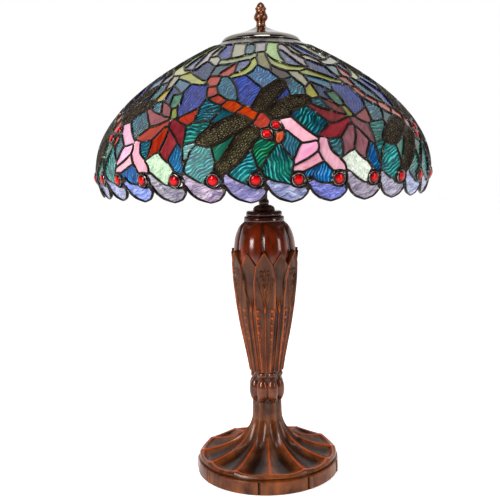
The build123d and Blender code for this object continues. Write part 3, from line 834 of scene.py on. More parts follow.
def make_glass(chart, pieces):
    """All the cut pieces, grouped by kind of sheet and by repeat."""
    groups = {}
    for number, (kind, sheet, grain, _) in enumerate(pieces):
        if kind == "gem":
            continue
        (rows, cols), margin = chart.margin(number)
        az, s = chart.az[rows, cols], chart.s[rows, cols]
        data = np.column_stack([az.ravel(), s.ravel()])
        triangles, data = clip(grid_triangles(*margin.shape), margin.ravel() + GLASS_INSET, data)
        outline = data[border_loop(triangles)]
        k = np.radians(1) * dome_radius(outline[:, 1].mean())
        outline = simplified(outline * (k, 1), 0.3) / (k, 1)
        sunk = WING_SUNK if kind == "wing" else 0
        for repeat in range(REPEATS):
            lie = grain + RNG.uniform(-14, 14)
            made = flat_piece(outline + (SPAN * repeat, 0), lie, RNG.random() * 40, sunk)
            groups.setdefault((SHEETS[sheet][2], repeat), []).append((sheet, made))
    for (texture, repeat), members in sorted(groups.items()):
        verts, faces, grains = joined(made for _, made in members)
        tints = []
        for sheet, made in members:
            tints += [piece_tints(sheet, repeat)] * len(made[0])
        mesh = build_mesh("glass", verts * MM, faces, smooth=False)
        paint(mesh, "grain", "FLOAT_VECTOR", grains)
        for n, name in enumerate(("tint_a", "tint_b", "tint_c")):
            paint(mesh, name, "FLOAT_COLOR", [(*tint[n], 1) for tint in tints])
        place(f"glass_{texture}_{repeat + 1}", mesh, "shade", GLASS[texture],
              replaces=("crown_panels", "shoulder_panels", "skirt_panels", "rim_scallops"))


PETAL_TURNS = {"petal_front": "petal_red", "petal_mauve": "petal_red", "petal_dusk": "petal_maroon"}


def piece_tints(sheet, repeat):
    """The tints of one piece: cut from the same sheet, but never quite the same place on it.
    Every other red lotus is cut from a redder sheet."""
    if repeat % 2 and sheet in PETAL_TURNS:
        sheet = PETAL_TURNS[sheet]
    shade = RNG.uniform(0.8, 1.2)
    shift = [RNG.uniform(0.9, 1.1) for _ in range(3)]
    a, b, _ = SHEETS[sheet]
    c = HOLLOW_TINTS.get(sheet, a)
    return [tuple(min(1, shade * m * part) for m, part in zip(shift, tint)) for tint in (a, b, c)]


def make_gems(pieces):
    """Domed red glass cabochons in solder rings: thirty round the rim, and two eyes a dragonfly."""
    spots = [(RIM_GEM_AT + PITCH * k, RIM_GEM_S, RIM_GEM_R) for k in range(len(TIPS))]
    eyes = [(azimuth, s, radius - EYE_BEZEL) for azimuth, s, radius in EYES]
    for name, members, width in (("rim_gem", spots, BEZEL), ("eye_gem", eyes, EYE_BEZEL)):
        stones, rings = [], []
        for repeat in range(REPEATS):
            for azimuth, s, radius in members:
                dome = [(radius * math.cos(t), GEM_RISE * math.sin(t) - 0.4)
                        for t in np.linspace(0, 1.5, 8)]
                ring = [(radius - 0.5, -1.6), (radius - 0.4, 1.0), (radius + 0.35 * width, 1.55),
                        (radius + 0.8 * width, 0.9), (radius + width + 0.5, -1.6)]
                stones.append(set_round(azimuth + SPAN * repeat, s, dome))
                rings.append(set_round(azimuth + SPAN * repeat, s, ring))
        for part, made, slot, material, replaced in (
                ("stones", stones, "ruby_glass", GEM, (name + "s",)),
                ("bezels", rings, "lead_came", BEZELS, ())):
            verts, faces, relief = joined(made)
            mesh = build_mesh(f"{name}_{part}", verts * MM, faces)
            paint(mesh, "relief", "FLOAT", relief)
            place(f"{name}_{part}", mesh, "shade", material, replaces=replaced)


def set_round(azimuth, s, line, sides=28):
    """A turned piece standing on the dome: its line gives (radius, height over the dome)."""
    point = on_dome(np.array(azimuth), np.array(s), 0.0)
    out = on_dome(np.array(azimuth), np.array(s), 1.0) - point
    side = np.cross((0, 0, 1), out)
    side /= np.linalg.norm(side)
    up = np.cross(out, side)
    turns = [2 * math.pi * j / sides for j in range(sides)]
    verts = [point + (side * math.cos(t) + up * math.sin(t)) * r + out * h
             for r, h in line for t in turns]
    faces = [[i * sides + j, i * sides + (j + 1) % sides, (i + 1) * sides + (j + 1) % sides,
              (i + 1) * sides + j] for i in range(len(line) - 1) for j in range(sides)]
    faces.append([(len(line) - 1) * sides + j for j in range(sides)])
    faces.append([j for j in range(sides)][::-1])
    # the last list, 1 in the middle and 0 at the widest ring, is what the gem's material paints from lit to
    # shaded
    widest = max(r for r, _ in line)
    return verts, faces, [1 - (r / widest) ** 2 for r, _ in line for _ in turns]


def sampled(values, x, y):
    """Values of a grid between its places, at fractional row x and column y."""
    i = np.clip(np.floor(x).astype(int), 0, values.shape[0] - 2)
    j = np.clip(np.floor(y).astype(int), 0, values.shape[1] - 2)
    u, v = x - i, y - j
    return ((1 - u) * (1 - v) * values[i, j] + u * (1 - v) * values[i + 1, j]
            + (1 - u) * v * values[i, j + 1] + u * v * values[i + 1, j + 1])


def make_filigree(chart, pieces):
    """Pierced metal plates over the dragonflies' wings, each filling its cell with a net of veins."""
    cell_l, cell_w, web_w, rim_w = 3.9, 2.75, 0.72, 1.5
    wings = [number for number, piece in enumerate(pieces) if piece[0] == "wing"]
    for number, (piece, corners) in enumerate(zip(wings, WINGS)):
        (rows, cols), margin = chart.margin(piece)
        near = margin < 0
        seen_az, seen_s = chart.az[rows, cols][near], chart.s[rows, cols][near]
        az, s = np.meshgrid(np.arange(seen_az.min(), seen_az.max(), 0.085),
                            np.arange(seen_s.min(), seen_s.max(), 0.34), indexing="ij")
        step_az = chart.azimuths[1] - chart.azimuths[0]
        step_s = chart.downs[1] - chart.downs[0]
        edge = sampled(margin, (az - chart.az[rows, cols][0, 0]) / step_az,
                       (s - chart.s[rows, cols][0, 0]) / step_s)
        k = np.radians(1) * dome_radius(s)
        x, y = az * k, s
        root = np.array(corners[0]) * (k.mean(), 1)
        tip = np.array(corners[len(corners) // 2]) * (k.mean(), 1)
        run = (tip - root) / np.linalg.norm(tip - root)
        along = (x - root[0]) * run[0] + (y - root[1]) * run[1]
        across = (y - root[1]) * run[0] - (x - root[0]) * run[1]
        along = along + 0.7 * np.sin(across * 1.1 + number) + 0.5 * np.sin(along * 0.55 + across * 0.4)
        across = across + 0.55 * np.sin(along * 0.8 + 1.7 * number)
        row = np.round(across / cell_w)
        wave = np.abs(across / cell_w - row) * cell_w
        shifted = along / cell_l + 0.5 * (row % 2)
        cross = np.abs(shifted - np.round(shifted)) * cell_l
        web = np.minimum(cell_w / 2 - wave, cross) - web_w
        value = np.maximum(np.minimum(web, -(edge + CAME_HALF + rim_w)), edge + CAME_HALF - 0.4)
        data = np.column_stack([az.ravel(), s.ravel(), value.ravel()])
        triangles, data = clip(grid_triangles(*az.shape), value.ravel(), data)
        lift = 0.15 + 0.75 * np.sqrt(np.clip(-data[:, 2] / web_w, 0, 1))
        verts = on_dome(data[:, 0], data[:, 1], lift) * MM
        for repeat in range(REPEATS):
            mesh = build_mesh("filigree", turned(verts, SPAN * repeat), triangles[:, ::-1])
            place(f"wing_filigree_{number + 1}_{repeat + 1}", mesh, "shade", FILIGREE)


# ---------------------------------------------------------------- turned and moulded pieces
def spline(points, count):
    """A smooth open curve through a few points."""
    p = np.array(points, float)
    ends = np.vstack([2 * p[0] - p[1], p, 2 * p[-1] - p[-2]])
    per = max(2, count // (len(p) - 1))
    t = np.linspace(0, 1, per, endpoint=False)[:, None]
    out = []
    for i in range(1, len(ends) - 2):
        a, b, c, d = ends[i - 1:i + 3]
        out.append(0.5 * ((2 * b) + (c - a) * t + (2 * a - 5 * b + 4 * c - d) * t ** 2
                          + (3 * b - a - 3 * c + d) * t ** 3))
    return np.vstack(out + [p[-1:]])


def moulded(name, rows, body, material, replaces, sides=720):
    """A closed skin round the axis. rows(azimuth) gives each row's radius, height, worn ridges with painted
    highlight in places, and painted shade.
    """
    azimuth = np.arange(sides) * 360.0 / sides
    radius, height, relief, sunk = rows(azimuth)
    turn = np.radians(azimuth)[None, :]
    verts = np.stack([radius * np.sin(turn), -radius * np.cos(turn), height], -1).reshape(-1, 3)
    levels = radius.shape[0]
    index = np.arange(levels * sides).reshape(levels, sides)
    right = np.roll(index, -1, 1)
    faces = np.stack([index[:-1], right[:-1], right[1:], index[1:]], -1).reshape(-1, 4)
    mesh = build_mesh(name, verts * MM, faces)
    paint(mesh, "relief", "FLOAT", relief.ravel())
    paint(mesh, "sunk", "FLOAT", sunk.ravel())
    return place(name, mesh, body, material, replaces)


def lathe(name, line, body, material, replaces=(), sides=128):
    line = np.asarray(line, float)

    def rows(azimuth):
        one = np.ones((1, len(azimuth)))
        return line[:, :1] * one, line[:, 1:] * one, 0 * one * line[:, :1], 0 * one * line[:, :1]

    return moulded(name, rows, body, material, replaces, sides)


FLUTES, FLUTE_AT = 12, 2.0
SKIRT_SEAMS = (-90, -55.5, -6, 34, 74, 114, 154, 194, 234)


def foot_rows(azimuth):
    """The foot from its underside, up the panelled skirt and rim, then up the fluted flare."""
    az = azimuth[None, :]
    flare = bezier(((96.2, 28.2), (63, 31.5), (21.9, 47), (20.9, 82)), 170)
    waist = np.column_stack([np.linspace(20.8, 20.4, 12), np.linspace(83, 101, 12)])
    ridge = np.vstack([flare, waist])
    ds = np.concatenate([[0], np.cumsum(np.linalg.norm(np.diff(ridge, axis=0), axis=1))])[:, None]
    run = np.gradient(ridge, axis=0)
    run /= np.linalg.norm(run, axis=1)[:, None]
    phase = ((az - FLUTE_AT) / (360 / FLUTES)) % 1.0
    cross = np.abs(2 * phase - 1)
    scoop = (1 - cross ** 1.9) ** 0.85
    r0 = ridge[:, :1]
    depth = 2.3 + 4.8 * smoothstep(r0, 22, 46)
    toe = 3.8 + 2.4 * cross ** 4
    start = 0.36 + 0.64 * smoothstep(ds, toe - 2.4, toe + 2.4)
    sink = depth * scoop * start
    radius = r0 - sink * run[:, 1:]
    height = ridge[:, 1:] + sink * run[:, :1]
    rim_dip = -(sink * run[:, :1])[:1]
    toe_edge = 0.9 * (1 - smoothstep(np.abs(ds - toe + 2.4), 0.5, 2.2))
    edge = np.maximum(1 - (1 - cross) * 6.0, 0) + toe_edge
    edge = edge * (0.30 + 0.70 * smoothstep(r0, 24, 44))
    # painted shade: darker deep in each flute, less so towards the waist
    sunk = smoothstep(scoop, 0.35, 0.95) * smoothstep(ds, 6, 14) * (1 - 0.6 * smoothstep(r0, 60, 30))
    after, before = skirt_gaps(az)
    skirt_line = [(99, 0.4), (101.2, 1.2), (101.5, 4), (101.3, 12), (100.8, 17.6), (99.8, 18.8),
                  (97.4, 19.4), (96.3, 20.2), (96.4, 21.2), (98.0, 22.0), (98.9, 23.6), (98.6, 25.4),
                  (97.7, 27.2), (97.0, 28.0)]
    lines = spline(skirt_line, 78)
    share = smoothstep(lines[:, 1:], 0.6, 2.0) * (1 - smoothstep(lines[:, 1:], 17.4, 19.0))
    lip = 1.0 - smoothstep(after, 2.2, 5.0)
    groove = 1.0 - smoothstep(before, 2.4, 4.2)
    skirt_r = lines[:, :1] + share * (0.9 * lip - 2.2 * groove)
    skirt_z = lines[:, 1:] - rim_dip * smoothstep(lines[:, 1:], 20.5, 26.0)
    top_edge = np.exp(-((lines[:, 1:] - 18.0) / 0.8) ** 2)
    skirt_edge = 0.42 * share * lip + 0.35 * top_edge + 0 * az
    # painted shade in the groove before each seam and in the groove round the skirt's top
    skirt_painted_shade = share * groove + 1.2 * np.exp(-((lines[:, 1:] - 20.6) / 0.7) ** 2) + 0 * az
    under_r = np.array([[60.0], [99.0]]) + 0 * az
    under_z = np.array([[0.4], [0.4]]) + 0 * az
    rows_r = np.vstack([under_r, skirt_r, radius])
    rows_z = np.vstack([under_z, skirt_z, height])
    rows_e = np.vstack([0 * under_r, skirt_edge, edge])
    return rows_r, rows_z, rows_e, np.vstack([0 * under_r, skirt_painted_shade, sunk])


def skirt_gaps(azimuth):
    """For each place round the skirt, the millimetres past the last seam and up to the next one."""
    seams = np.array(SKIRT_SEAMS + (SKIRT_SEAMS[0] + 360,))
    here = (azimuth - SKIRT_SEAMS[0]) % 360 + SKIRT_SEAMS[0]
    last = np.searchsorted(seams, here, side="right") - 1
    mm = np.radians(1) * 100
    return (here - seams[last]) * mm, (seams[np.minimum(last + 1, len(seams) - 1)] - here) * mm


def ellipsoid_radius(delta, z, rho, z0, a_r, a_t, a_z):
    """How far out a ray from the axis leaves an ellipsoid at radius rho, or 0 if it misses."""
    c, s = np.cos(np.radians(delta)), np.sin(np.radians(delta))
    qa = (c / a_r) ** 2 + (s / a_t) ** 2
    qb = -2 * c * rho / a_r ** 2
    qc = (rho / a_r) ** 2 + ((z - z0) / a_z) ** 2 - 1
    disc_part = qb ** 2 - 4 * qa * qc
    root = (-qb + np.sqrt(np.maximum(disc_part, 0))) / (2 * qa)
    return np.where((disc_part > 0) & (c > 0), root, 0)


def nearest_turn(azimuth, first, count):
    """Degrees from the nearest of a number of evenly spaced places."""
    pitch = 360.0 / count
    return (azimuth - first + pitch / 2) % pitch - pitch / 2


def collar_rows(azimuth):
    """Eight buds, each a tall egg-shaped drop under a small knob."""
    az = azimuth[None, :]
    z = np.linspace(94.5, 148, 200)[:, None]
    core = np.interp(z, [94, 100, 104, 118, 131, 136, 148], [16, 18.5, 19.2, 20.4, 19.0, 19.6, 22.0])
    delta = nearest_turn(az, 24.5, 8)
    drop = ellipsoid_radius(delta, z, 17.4, 118.5, 8.9, 9.0, 17.6)
    knob = ellipsoid_radius(delta, z, 17.0, 141.0, 7.0, 7.8, 6.4)
    radius = np.maximum.reduce([core + 0 * az, drop, knob])
    relief = 0.45 * smoothstep(radius, 22.6, 25.2) * (radius == drop) * smoothstep(z, 120, 104)
    # painted shade between the buds, where the skin lies back at the core
    sunk = 0.8 * (1.0 - smoothstep(radius - core, 0.0, 1.4))
    return radius, z + 0 * az, relief, sunk


LEAVES, LEAF_AT = 12, -1.0
GAP_R = 39.4                # the skin behind the leaves' tips, out of sight inside the bud
VASE_LINE = ((147, 22.6), (165, 25.6), (178, 28.2), (190, 30.5), (200, 32.6), (215, 35.4),
             (230, 37.6), (247, 40.1), (258, 41.2), (270, 42.7), (284, 44.0), (296, 44.9),
             (308, 46.0), (321, 47.0))
FRONT_EDGE = ((147, 17.0), (180, 18.0), (215, 19.5), (255, 21.5), (280, 20.0), (300, 15.3))
REAR_EDGE = ((147, 15.5), (300, 15.3))
NOTCH_Z = 300.5
PEARL_TOP_Z, PEARL_STEP, PEARLS = 238.0, 10.5, 8


def along_vase(z, line):
    return np.interp(z, [p[0] for p in line], [p[1] for p in line])


def leaf_rows(azimuth):
    """Twelve tall leaves, every other one in front, with raised edges, pointed tips and ribs."""
    az = azimuth[None, :]
    z = np.linspace(146.5, 321.6, 640)[:, None]
    body = along_vase(z, VASE_LINE)
    mm_per_deg = np.radians(1) * body

    def leaf(first, tip, sides, rise, spray):
        """Skin of every other leaf: how far inside its edge, its radius, its worn ridges with a painted
        highlight on their left side, and its painted shade.
        """
        turn = nearest_turn(az, first, LEAVES // 2)
        x = np.abs(turn) * mm_per_deg
        below = along_vase(z, sides) * mm_per_deg
        share = np.clip((tip - z) / (tip - NOTCH_Z), 0, 1)
        point = along_vase(NOTCH_Z, sides) * np.radians(46.0) * share ** 0.85
        inset = np.where(z < NOTCH_Z, below, point) - x
        edge = np.exp(-((inset - 1.0) / 0.85) ** 2)
        vee = (z - 234.0) / 50.0 * 11.0
        rib = np.exp(-(x / 0.8) ** 2) * (1 - smoothstep(z, 244, 262))
        side = np.exp(-((x - vee) / 0.9) ** 2) * smoothstep(z, 234, 238) * (1 - smoothstep(z, 284, 290))
        flute = 0.5 * np.exp(-((x - 0.55 * below) / 0.7) ** 2) * (1 - smoothstep(z, 225, 245))
        flower = carved_flower(turn * mm_per_deg, z) if spray else 0
        hollow = smoothstep(inset, 1.8, 4.0) * (1 - np.clip(rib + side + flute + flower, 0, 1))
        raised = 1.5 * edge + 1.2 * rib + 1.2 * side + 0.8 * flute + 1.6 * flower
        radius = body + rise + raised - 0.9 * hollow
        # painted highlight: each leaf's ridges on its left side, and the left half of its rib, are made
        # brighter than on the right
        wear_and_highlight = 0.85 * edge * (0.6 + 0.4 * (turn < 0)) + 0.8 * rib * (turn * mm_per_deg < 0.4)
        wear_and_highlight = wear_and_highlight + 0.35 * side
        # painted shade in the leaf's hollows, stronger higher up
        return inset, radius, wear_and_highlight, hollow * (0.40 + 0.20 * smoothstep(z, 200, 300))

    front, front_r, front_wear_and_highlight, front_painted_shade = leaf(LEAF_AT, 320.5, FRONT_EDGE, 0.9, True)
    rear, rear_r, rear_wear_and_highlight, rear_painted_shade = leaf(LEAF_AT + 360 / LEAVES, 317.5, REAR_EDGE, -0.9, False)
    radius = np.where(front > 0, front_r, rear_r)
    wear_and_highlight = np.where(front > 0, front_wear_and_highlight, rear_wear_and_highlight)
    sunk = np.where(front > 0, front_painted_shade, rear_painted_shade)
    # painted shadow along each front leaf's edge, on the skin just outside it
    sunk = np.maximum(sunk, (front < 0) * (1 - smoothstep(-front, 0.4, 2.0)))
    gap = (front < 0) & (rear < 0)
    radius = np.where(gap, GAP_R, radius)
    # painted shade: the skin between the leaves is made fully dark
    sunk = np.where(gap, 1.0, sunk)
    wear_and_highlight = np.where(gap, 0.0, wear_and_highlight)
    turn = nearest_turn(az, LEAF_AT + 180 / LEAVES, LEAVES)
    for k in range(PEARLS):
        low = PEARL_TOP_Z - PEARL_STEP * k
        size = 2.6 - 0.18 * k
        pearl = ellipsoid_radius(turn, z, along_vase(low, VASE_LINE) + 0.6, low, size, size, size)
        proud = pearl > radius
        radius = np.where(proud, pearl, radius)
        wear_and_highlight = np.where(proud, 0.65, wear_and_highlight)
        sunk = np.where(proud, 0.0, sunk)
    return radius, z + 0 * az, wear_and_highlight, sunk


# the petals of the carved spray: out from the middle, height, half length, half width, lean
PETALS = ((0, 291, 5.0, 1.5, 0), (-3.6, 284, 4.4, 1.4, 24), (3.6, 284, 4.4, 1.4, -24),
          (-1.9, 273, 5.5, 1.2, 12), (1.9, 273, 5.5, 1.2, -12), (0, 262, 6.0, 1.2, 0),
          (-4.6, 293, 1.7, 1.5, 0), (4.6, 293, 1.7, 1.5, 0))


def carved_flower(x, z):
    """A spray of small petals in the middle of each front leaf's arch."""
    out = 0
    for dx, dz, long, wide, lean in PETALS:
        c, s = math.cos(math.radians(lean)), math.sin(math.radians(lean))
        u, v = (x - dx) * c + (z - dz) * s, (z - dz) * c - (x - dx) * s
        out = out + np.exp(-(u / wide) ** 2 - (v / long) ** 4)
    return out


BUD_LOBES, BUD_AT = 6, -4.0


def bud_rows(azimuth):
    """A closed bud of six glossy lobes with sharp seams between them."""
    az = azimuth[None, :]
    line = spline([(37.5, 266), (40.6, 285), (42.8, 297), (43.9, 308), (43.8, 318), (42.8, 328),
                   (41.2, 337), (38.4, 345.5), (34.4, 353), (28.5, 358.4)], 150)
    phase = ((az - BUD_AT) / (360 / BUD_LOBES)) % 1.0
    lobe = np.abs(np.sin(np.pi * phase)) ** 0.55
    depth = 3.2 * smoothstep(line[:, 1:], 370, 332) + 0.6
    radius = line[:, :1] - depth * (1 - lobe)
    # painted shade along the seams between the lobes
    sunk = 0.8 * (1 - smoothstep(lobe, 0.2, 0.6)) + 0 * radius
    return radius, line[:, 1:] + 0 * az, 0 * radius, sunk


def make_stem():
    moulded("fluted_foot", foot_rows, "root", BRONZE, ("foot_casting",), 1440)
    moulded("bud_collar_moulding", collar_rows, "root", BRONZE_BUDS, ("bud_collar",),
            960)
    moulded("leaf_vase_moulding", leaf_rows, "root", BRONZE, ("leaf_vase",), 1440)
    moulded("lobed_bud", bud_rows, "root", LACQUER, ("bud",), 960)
    plate = [(6, 358.5), (27.0, 358.5), (28.4, 359.4), (28.6, 361), (28.4, 364), (27.6, 365.8),
             (25.8, 366.5), (6, 366.5)]
    lathe("neck_plate_turned", rounded_line(plate), "root", NECK, ("neck_plate",))
    ring = [(6, 366.6), (24.0, 366.6), (25.6, 367.8), (25.6, 370), (24.8, 372.4), (22.8, 373.6), (6, 373.7)]
    lathe("neck_ring_turned", rounded_line(ring), "root", NECK, ("neck_ring",))
    bead = spline([(15.0, 373.8), (15.7, 374.6), (15.0, 375.5), (15.3, 376.6), (14.6, 377.6),
                   (14.2, 378.4), (13.0, 379.6), (9.6, 381.2), (6.6, 382.2)], 64)
    upper = spline([(6.4, 382.4), (7.1, 383.8), (7.3, 385.4), (6.9, 387.2), (5.8, 389.3)], 28)
    cone = np.vstack([[[6, 373.8]], bead, upper, [[5.0, 389.4]]])
    lathe("neck_cone_turned", cone, "root", NECK, ("neck_cone",))


def rounded_line(corners, steps=5, share=0.22):
    """An open line whose corners are eased."""
    p = np.array(corners, float)
    out = [p[0]]
    for a, b, c in zip(p[:-2], p[1:-1], p[2:]):
        start, end = b + (a - b) * share, b + (c - b) * share
        for t in np.linspace(0, 1, steps):
            out.append((1 - t) ** 2 * start + 2 * t * (1 - t) * b + t * t * end)
    return np.array(out + [p[-1]])


def make_top():
    band_s = np.linspace(0.0, CROWN_BAND_S + 1.5, 14)
    over = on_dome(0 * band_s, band_s, -0.9)
    under = on_dome(0 * band_s, band_s, -3.2)[::-1]
    band = np.vstack([over, under, over[:1]])
    lathe("crown_band", np.column_stack([-band[:, 1], band[:, 2]]), "shade", PEWTER)
    cap = spline([(53.4, 604.1), (52.0, 606.6), (47.8, 609.6), (40, 612.2), (31.7, 614.3),
                  (24, 616.7), (17.8, 619.1), (12.4, 621.4), (9.4, 622.7), (7.6, 623.9)], 120)
    rolled = spline([(51.2, 603.6), (52.6, 602.6), (53.9, 602.9), (54.2, 603.6), (53.4, 604.1)], 24)
    lathe("vase_cap_spun", np.vstack([rolled, cap[1:], [[5.4, 623.9]]]), "shade",
          CAP, ("vase_cap",))
    collar = spline([(5.2, 624.4), (6.4, 624.5), (6.6, 625.4), (6.2, 626.4), (6.0, 628.6),
                     (5.4, 629.2)], 40)
    lathe("finial_collar_turned", collar, "finial", COPPER, ("finial_collar",))
    finial = spline([(5.4, 629.3), (6.1, 629.6), (6.4, 630.8), (8.2, 633.0), (9.2, 634.8), (9.4, 636.6),
                     (8.8, 639.2), (7.5, 641.6), (6.6, 643.6), (6.6, 645.6), (7.3, 646.7), (7.5, 647.8),
                     (7.2, 648.8), (6.2, 649.4), (5.4, 651.4), (4.5, 653.2), (3.2, 654.8), (1.2, 656.1),
                     (0.05, 656.4)], 120)
    lathe("finial_turned", finial, "finial", COPPER, ("finial",))


# ---------------------------------------------------------------- room, camera and lights
FLOOR_HALF = 6.0                            # metres
LAMP_MIDDLE = Vector((0, 0, 0.36))
CAMERA_AT = (0.0, -1.07365, 0.45366)
LOOKING_DOWN, ROLL = 7.21, -0.95            # degrees
LENS, SENSOR = 55.23, 36.0                  # millimetres
CAMERA_SHIFT = -0.0293                      # sideways, as a share of the picture's width


def softbox(name, at, size, power):
    """A soft rectangular light, in metres and watts, aimed at the middle of the lamp."""
    light = bpy.data.lights.new(name, "AREA")
    light.shape = "RECTANGLE"
    light.size, light.size_y = size
    light.energy = power
    lamp = bpy.data.objects.new(name, light)
    lamp.location = at
    lamp.rotation_euler = (LAMP_MIDDLE - Vector(at)).to_track_quat("-Z", "Y").to_euler()
    bpy.context.scene.collection.objects.link(lamp)


def make_room():
    verts = [(x * FLOOR_HALF, y * FLOOR_HALF, 0) for x, y in ((-1, -1), (1, -1), (1, 1), (-1, 1))]
    floor = bpy.data.objects.new("floor", build_mesh("floor", verts, [[0, 1, 2, 3]], smooth=False))
    bpy.context.scene.collection.objects.link(floor)
    m = Nodes("pale_floor")
    m.colour(m.mix(m.noise(m.position(), 2.0), (0.86, 0.86, 0.86), (0.90, 0.90, 0.90)))
    m.set(rough=0.7, specular=0.2)
    m.shader.inputs["Emission Color"].default_value = (1, 1, 1, 1)
    m.shader.inputs["Emission Strength"].default_value = 0.55
    floor.data.materials.append(m.material)

    world = bpy.data.worlds.new("studio")
    bpy.context.scene.world = world
    world.use_nodes = True
    tree = world.node_tree
    background = tree.nodes["Background"]
    coord = tree.nodes.new("ShaderNodeTexCoord")
    split = tree.nodes.new("ShaderNodeSeparateXYZ")
    ramp = tree.nodes.new("ShaderNodeValToRGB")
    scale = tree.nodes.new("ShaderNodeMapRange")
    tree.links.new(coord.outputs["Generated"], split.inputs[0])
    tree.links.new(split.outputs["Y"], scale.inputs["Value"])
    scale.inputs["From Min"].default_value = -1.0
    scale.inputs["From Max"].default_value = 1.0
    tree.links.new(scale.outputs["Result"], ramp.inputs["Fac"])
    ramp.color_ramp.elements[0].position = 0.47
    ramp.color_ramp.elements[0].color = (0.035, 0.035, 0.037, 1)
    ramp.color_ramp.elements[1].position = 0.62
    ramp.color_ramp.elements[1].color = (1.0, 1.0, 1.0, 1)
    seen = tree.nodes.new("ShaderNodeLightPath")
    backdrop = tree.nodes.new("ShaderNodeMix")
    backdrop.data_type = "RGBA"
    backdrop.inputs[7].default_value = (1.0, 1.0, 1.0, 1)
    tree.links.new(seen.outputs["Is Camera Ray"], backdrop.inputs[0])
    tree.links.new(ramp.outputs["Color"], backdrop.inputs[6])
    tree.links.new(backdrop.outputs[2], background.inputs["Color"])
    background.inputs["Strength"].default_value = 1.0

    softbox("key_left", (-1.5, -1.7, 1.25), (0.8, 1.4), 50)
    softbox("fill_right", (1.8, -1.1, 0.9), (0.5, 1.3), 14)
    softbox("front_top", (0.1, -1.2, 2.1), (1.2, 0.6), 13)

    camera = bpy.data.cameras.new("camera")
    camera.lens = LENS
    camera.sensor_width = SENSOR
    camera.shift_x = CAMERA_SHIFT
    view = bpy.data.objects.new("camera", camera)
    view.location = CAMERA_AT
    level = Euler((math.radians(90 - LOOKING_DOWN), 0, 0)).to_matrix()
    view.rotation_euler = (level @ Euler((0, 0, math.radians(ROLL))).to_matrix()).to_euler()
    bpy.context.scene.collection.objects.link(view)
    bpy.context.scene.camera = view
    bpy.context.scene.view_settings.view_transform = "Standard"
    bpy.context.scene.view_settings.gamma = 0.84


# ---------------------------------------------------------------- finishes
GLASS = {
    "wispy": glass_material("wispy_glass", (0.035, 0.12, 1.0), (0.05, 0.16, 1.0),
                            0.22, 0.32, 0.66, 0.13),
    "streaky": glass_material("streaky_glass", (0.025, 0.30, 1.0), (0.04, 0.30, 1.0),
                              0.35, 0.40, 0.66, 0.12),
    "granite": glass_material("granite_glass", (0.16, 0.26, 1.0), (0.30, 0.42, 1.0),
                              0.7, 0.40, 0.60, 0.13),
    "veined": veined_glass(),
    "ripple": ripple_glass(),
}
CAME = came_material()
PEWTER = metal_material("pewter_band", (0.10, 0.09, 0.08), (0.32, 0.30, 0.27), 0.25, 90.0)
BEZELS = metal_material("solder_bezels", (0.03, 0.024, 0.02), (0.34, 0.32, 0.29), 0.22, 240.0)
FILIGREE = metal_material("filigree_brass", (0.018, 0.012, 0.008), (0.08, 0.055, 0.032),
                          0.3, 120.0)
GEM = gem_material()
# the red-orange of rubbed ridges, also painted as highlight on the leaves' left sides
RUBBED_EDGE_AND_HIGHLIGHT, NECK_EDGE = (0.52, 0.085, 0.008), (0.3, 0.06, 0.02)
BRONZE = bronze_material("rubbed_bronze", (0.060, 0.013, 0.003), (0.26, 0.080, 0.020),
                         RUBBED_EDGE_AND_HIGHLIGHT, 0.27, 0.2)
BRONZE_BUDS = bronze_material("rubbed_bronze_buds", (0.060, 0.013, 0.003), (0.24, 0.062, 0.015),
                              RUBBED_EDGE_AND_HIGHLIGHT, 0.17, 0.6)
LACQUER = bronze_material("mahogany_lacquer", (0.060, 0.007, 0.001), (0.27, 0.036, 0.003),
                          NECK_EDGE, 0.18, 0.75)
NECK = bronze_material("neck_lacquer", (0.030, 0.005, 0.002), (0.11, 0.020, 0.006),
                       NECK_EDGE, 0.15, 0.9)
BRASS_DARK = metal_material("dark_brass", (0.018, 0.012, 0.008), (0.07, 0.045, 0.028), 0.28, coat=0.3)
CAP = metal_material("polished_bronze", (0.19, 0.17, 0.15), (0.31, 0.28, 0.25), 0.10, 40.0)
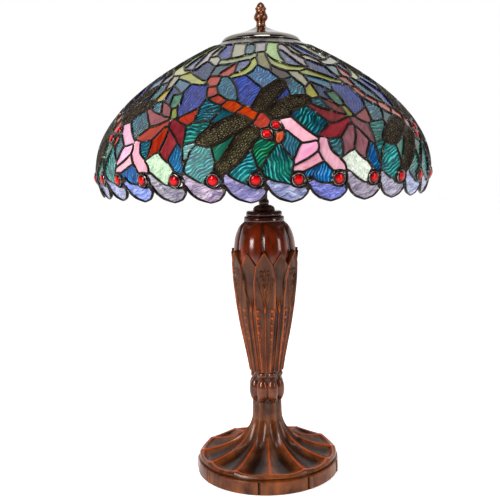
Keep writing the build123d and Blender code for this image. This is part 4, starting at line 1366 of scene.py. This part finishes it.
COPPER = metal_material("copper_bronze", (0.12, 0.05, 0.03), (0.38, 0.19, 0.11), 0.34, 220.0)

make_room()
make_shade()
make_stem()
make_top()

# the CAD nodes that stay as they are, with their finishes
ZINC = metal_material("zinc_plate", (0.35, 0.35, 0.36), (0.55, 0.55, 0.56), 0.35)
IRON = metal_material("cast_iron", (0.02, 0.02, 0.021), (0.06, 0.058, 0.055), 0.6, 200.0, 0.6,
                      bump=0.5)
NYLON = metal_material("black_nylon", (0.012, 0.012, 0.012), (0.03, 0.03, 0.03), 0.45, 80.0, 0.0)
HOLDER = metal_material("antique_brass", (0.22, 0.15, 0.06), (0.50, 0.37, 0.17), 0.25)
SCREW = metal_material("plain_brass", (0.55, 0.40, 0.18), (0.75, 0.58, 0.30), 0.2)
PHENOLIC = metal_material("black_phenolic", (0.010, 0.009, 0.008), (0.028, 0.024, 0.02), 0.25, 80.0,
                          0.0, coat=0.3)
TIN = metal_material("bulb_cap_metal", (0.5, 0.5, 0.5), (0.78, 0.78, 0.77), 0.28)
JACKET = metal_material("brown_insulation", (0.03, 0.02, 0.012), (0.07, 0.05, 0.03), 0.5, 80.0, 0.0)
FINISHES = {
    "felt_pad": felt_material(), "cover_plate": ZINC, "base_weight": IRON, "cord_bushing": NYLON,
    "pipe_washer": ZINC, "pipe_nut": ZINC, "lamp_pipe": BRASS_DARK, "internal_leads": JACKET,
    "cluster_nut": BRASS_DARK, "cluster_body": BRASS_DARK, "riser": BRASS_DARK, "seat_nut": BRASS_DARK,
    "shade_seat": BRASS_DARK, "crown_ring": BRASS_DARK, "crown_plate": BRASS_DARK,
}
for side in ("left", "right"):
    FINISHES["socket_cap_" + side] = HOLDER
    FINISHES["socket_shell_" + side] = HOLDER
    FINISHES["screw_shell_" + side] = SCREW
    FINISHES["switch_knob_" + side] = PHENOLIC
    FINISHES["bulb_cap_" + side] = TIN
    FINISHES["bulb_glass_" + side] = envelope_material()
for node, finish in FINISHES.items():
    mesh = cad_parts[node].data
    mesh.materials.clear()
    mesh.materials.append(finish)
